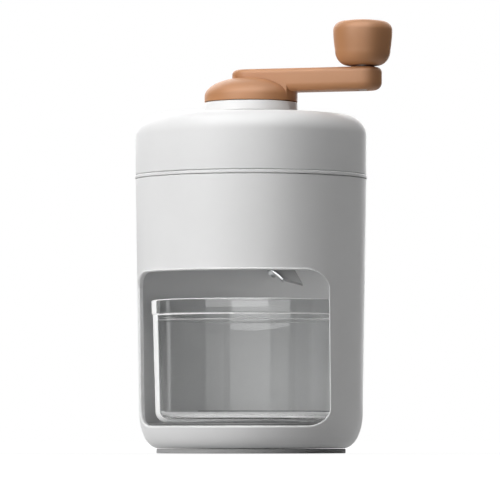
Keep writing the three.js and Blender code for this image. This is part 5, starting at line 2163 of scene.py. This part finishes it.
@dataclass
class Studio:
    """The photograph's camera, a softbox at its left, a strip behind at its right and a white sweep."""

    azimuth: float = math.radians(17.3)
    distance: float = 2.689
    camera_height: float = 0.010
    pitch: float = math.radians(2.357)
    aside: float = -0.00065
    lens: float = 326.0
    ambient: float = 0.075
    floor_half: float = 4.0
    cards: tuple[Pair, ...] = ((-53.3, 25.5), (-117.3, -108.7))
    lamps: tuple[Lamp, ...] = (
        Lamp("softbox", -51.0, 17.0, 1.7, (1.0, 1.4), 24.8, Glow.DULL),
        Lamp("front_card", -15.0, 25.0, 2.2, (3.7, 3.0), 110.0, Glow.GLOSS),
        Lamp("top_card", -20.0, 64.0, 1.8, (2.2, 1.6), 55.0, Glow.GLOSS),
        Lamp("right_rim", 163.0, 18.0, 1.9, (0.6, 1.5), 8.5),
        Lamp("back_soft", -158.0, 25.0, 2.0, (1.5, 1.5), 13.0),
        Lamp("overhead", 90.0, 74.0, 1.5, (1.2, 1.2), 15.0, Glow.DULL),
    )
    flag_height: float = 0.2
    flag_distance: float = 0.3
    flag_fade: float = 20.0
    flag_start: float = 10.0
    card_sharpness: float = 40.0
    aim: float = 0.13
    floor_level: float = -0.1
    floor_pale: float = 0.38
    floor_glow: float = 1.15
    dim_glow: float = 0.8
    dim_radius: float = 0.2
    dim_fade: float = 2.5

    def camera(self) -> None:
        """Sets the camera where the photograph was taken from."""
        data = bpy.data.cameras.new("camera")
        data.lens = self.lens
        data.sensor_width = 36.0
        data.clip_end = 50.0
        camera = linked("camera", data)
        right = Vector((math.cos(self.azimuth), math.sin(self.azimuth), 0.0))
        away = Vector((math.sin(self.azimuth), -math.cos(self.azimuth), 0.0))
        camera.location = away * self.distance + right * self.aside + Vector((0.0, 0.0, self.camera_height))
        camera.rotation_euler = (math.pi / 2 + self.pitch, 0.0, self.azimuth)
        bpy.context.scene.camera = camera

    def lamp(self, kind: Lamp) -> None:
        """Adds a lamp that looks at the middle of the object.

        Args:
            kind: what it is and where it stands.
        """
        data = bpy.data.lights.new(kind.name, "AREA")
        data.shape = "RECTANGLE"
        data.size, data.size_y = kind.size
        data.energy = kind.power
        lamp = linked(kind.name, data)
        a, e = self.azimuth + math.radians(kind.turn), math.radians(kind.rise)
        back = Vector((math.sin(a) * math.cos(e), -math.cos(a) * math.cos(e), math.sin(e)))
        lamp.location = Vector((0.0, 0.0, self.aim)) + back * kind.distance
        lamp.rotation_euler = back.to_track_quat("Z", "Y").to_euler()
        lamp.visible_camera = False
        lamp.visible_glossy = kind.glow is not Glow.DULL
        lamp.visible_diffuse = kind.glow is not Glow.GLOSS
        lamp.visible_transmission = False

    @staticmethod
    def seen(nodes: Nodes) -> Value:
        """1 for rays that see the background as such: from the camera, in gloss and through clear plastic."""
        glossy, through = nodes.rays("Is Glossy Ray"), nodes.rays("Is Transmission Ray")
        return nodes.rays("Is Camera Ray").maximum(glossy).maximum(through)

    def mirrored(self, place: Value) -> Value:
        """How white the surroundings look in a mirror: white over the cards, dark over the flags.

        Args:
            place: a place on the floor, or a direction in the sky.

        Returns:
            0 on the flags for rays that a glossy surface threw back, else 1.
        """
        nodes, cards = place.nodes, []
        for ends in self.cards:
            sides = []
            for turn, side in zip(ends, (1.0, -1.0)):
                a = self.azimuth + math.radians(turn)
                across = nodes.along(place, (side * math.cos(a), side * math.sin(a), 0.0))
                sides.append((across * self.card_sharpness).clamped())
            cards.append(sides[1] * sides[0])
        white = cards[0].maximum(cards[1])
        above = nodes.along(place, UP).size() - self.flag_height
        low = 1 - (above * self.flag_fade).clamped()
        far = ((nodes.distance_from_axis(place) - self.flag_distance) * self.flag_start).clamped()
        return 1 - (1 - white) * low * far * nodes.rays("Glossy Depth").minimum(1.0)

    def world(self) -> None:
        """A dim even sky that is white where it is seen."""
        world = bpy.data.worlds.new("studio")
        world.use_nodes = True
        nodes = Nodes(world.node_tree)
        dim, white = (
            nodes.add("ShaderNodeBackground", {"Color": opaque(PURE_WHITE), "Strength": strength})
            for strength in (self.ambient, 1.0)
        )
        share = self.seen(nodes) * self.mirrored(nodes.place("Generated"))
        nodes.add("ShaderNodeOutputWorld", {"Surface": nodes.blended(share, dim, white)})
        bpy.context.scene.world = world

    def floor(self) -> None:
        """A plain pale floor that keeps the object's shadow."""
        half, level = self.floor_half / MM, self.floor_level
        draft = bmesh.new()
        corners = ((-half, -half), (half, -half), (half, half), (-half, half))
        draft.faces.new([draft.verts.new((x, y, level)) for x, y in corners])
        floor = make("floor", draft)
        material = bpy.data.materials.new("pale_floor")
        material.use_nodes = True
        nodes = Nodes(material.node_tree)
        glow = nodes.add("ShaderNodeEmission", {"Color": opaque(PURE_WHITE), "Strength": self.floor_glow})
        place = nodes.place()
        far = ((nodes.distance_from_axis(place) - self.dim_radius) * self.dim_fade).clamped()
        white = self.seen(nodes) * (far * (1 - self.dim_glow) + self.dim_glow) * self.mirrored(place)
        pale = nodes.diffuse(PURE_WHITE, self.floor_pale)
        nodes.add("ShaderNodeOutputMaterial", {"Surface": nodes.blended(white, pale, glow)})
        floor.data.materials.append(material)

    def build(self) -> None:
        """Sets up the camera, the lamps, the sky and the floor."""
        self.camera()
        for kind in self.lamps:
            self.lamp(kind)
        self.world()
        self.floor()
        view = bpy.context.scene.view_settings
        view.view_transform = "Standard"


def numbered(count: int, *kinds: str) -> list[str]:
    """Names of the screws of some kinds, so many of each."""
    return [f"{kind}_screw_{i}" for kind in kinds for i in range(1, count + 1)]


def main() -> None:
    """Builds the object and the studio, in order."""
    logging.basicConfig(level=logging.INFO, format="%(message)s")
    housing, cutting, lid, crank = Housing(), CuttingUnit(), Lid(), Crank()
    Studio().build()
    housing.build()
    cutting.build()
    Cup().build()
    lid.build()
    crank.build()
    FeedSpring().build()
    Pusher().build()
    Knob().build()
    screws = ScrewMaker()
    base = ScrewPlaces(CASE_SCREW, upright(housing.screw_places(), housing.shell_bottom))
    dress(
        screws.build("housing_screws", [base, *cutting.screws()]), TURNED_STEEL,
        Body.HOUSING,
        *numbered(4, "base"), *numbered(2, "blade", "holder"),
    )
    dress(screws.build("lid_screws", lid.screws()), TURNED_STEEL, Body.LID, *numbered(3, "liner", "collar"))
    dress(
        screws.build("crank_screws", crank.screws()), TURNED_STEEL,
        Body.CRANK,
        *numbered(3, "crank"), "axle_screw", "end_screw",
    )


if __name__ == "__main__":
    main()
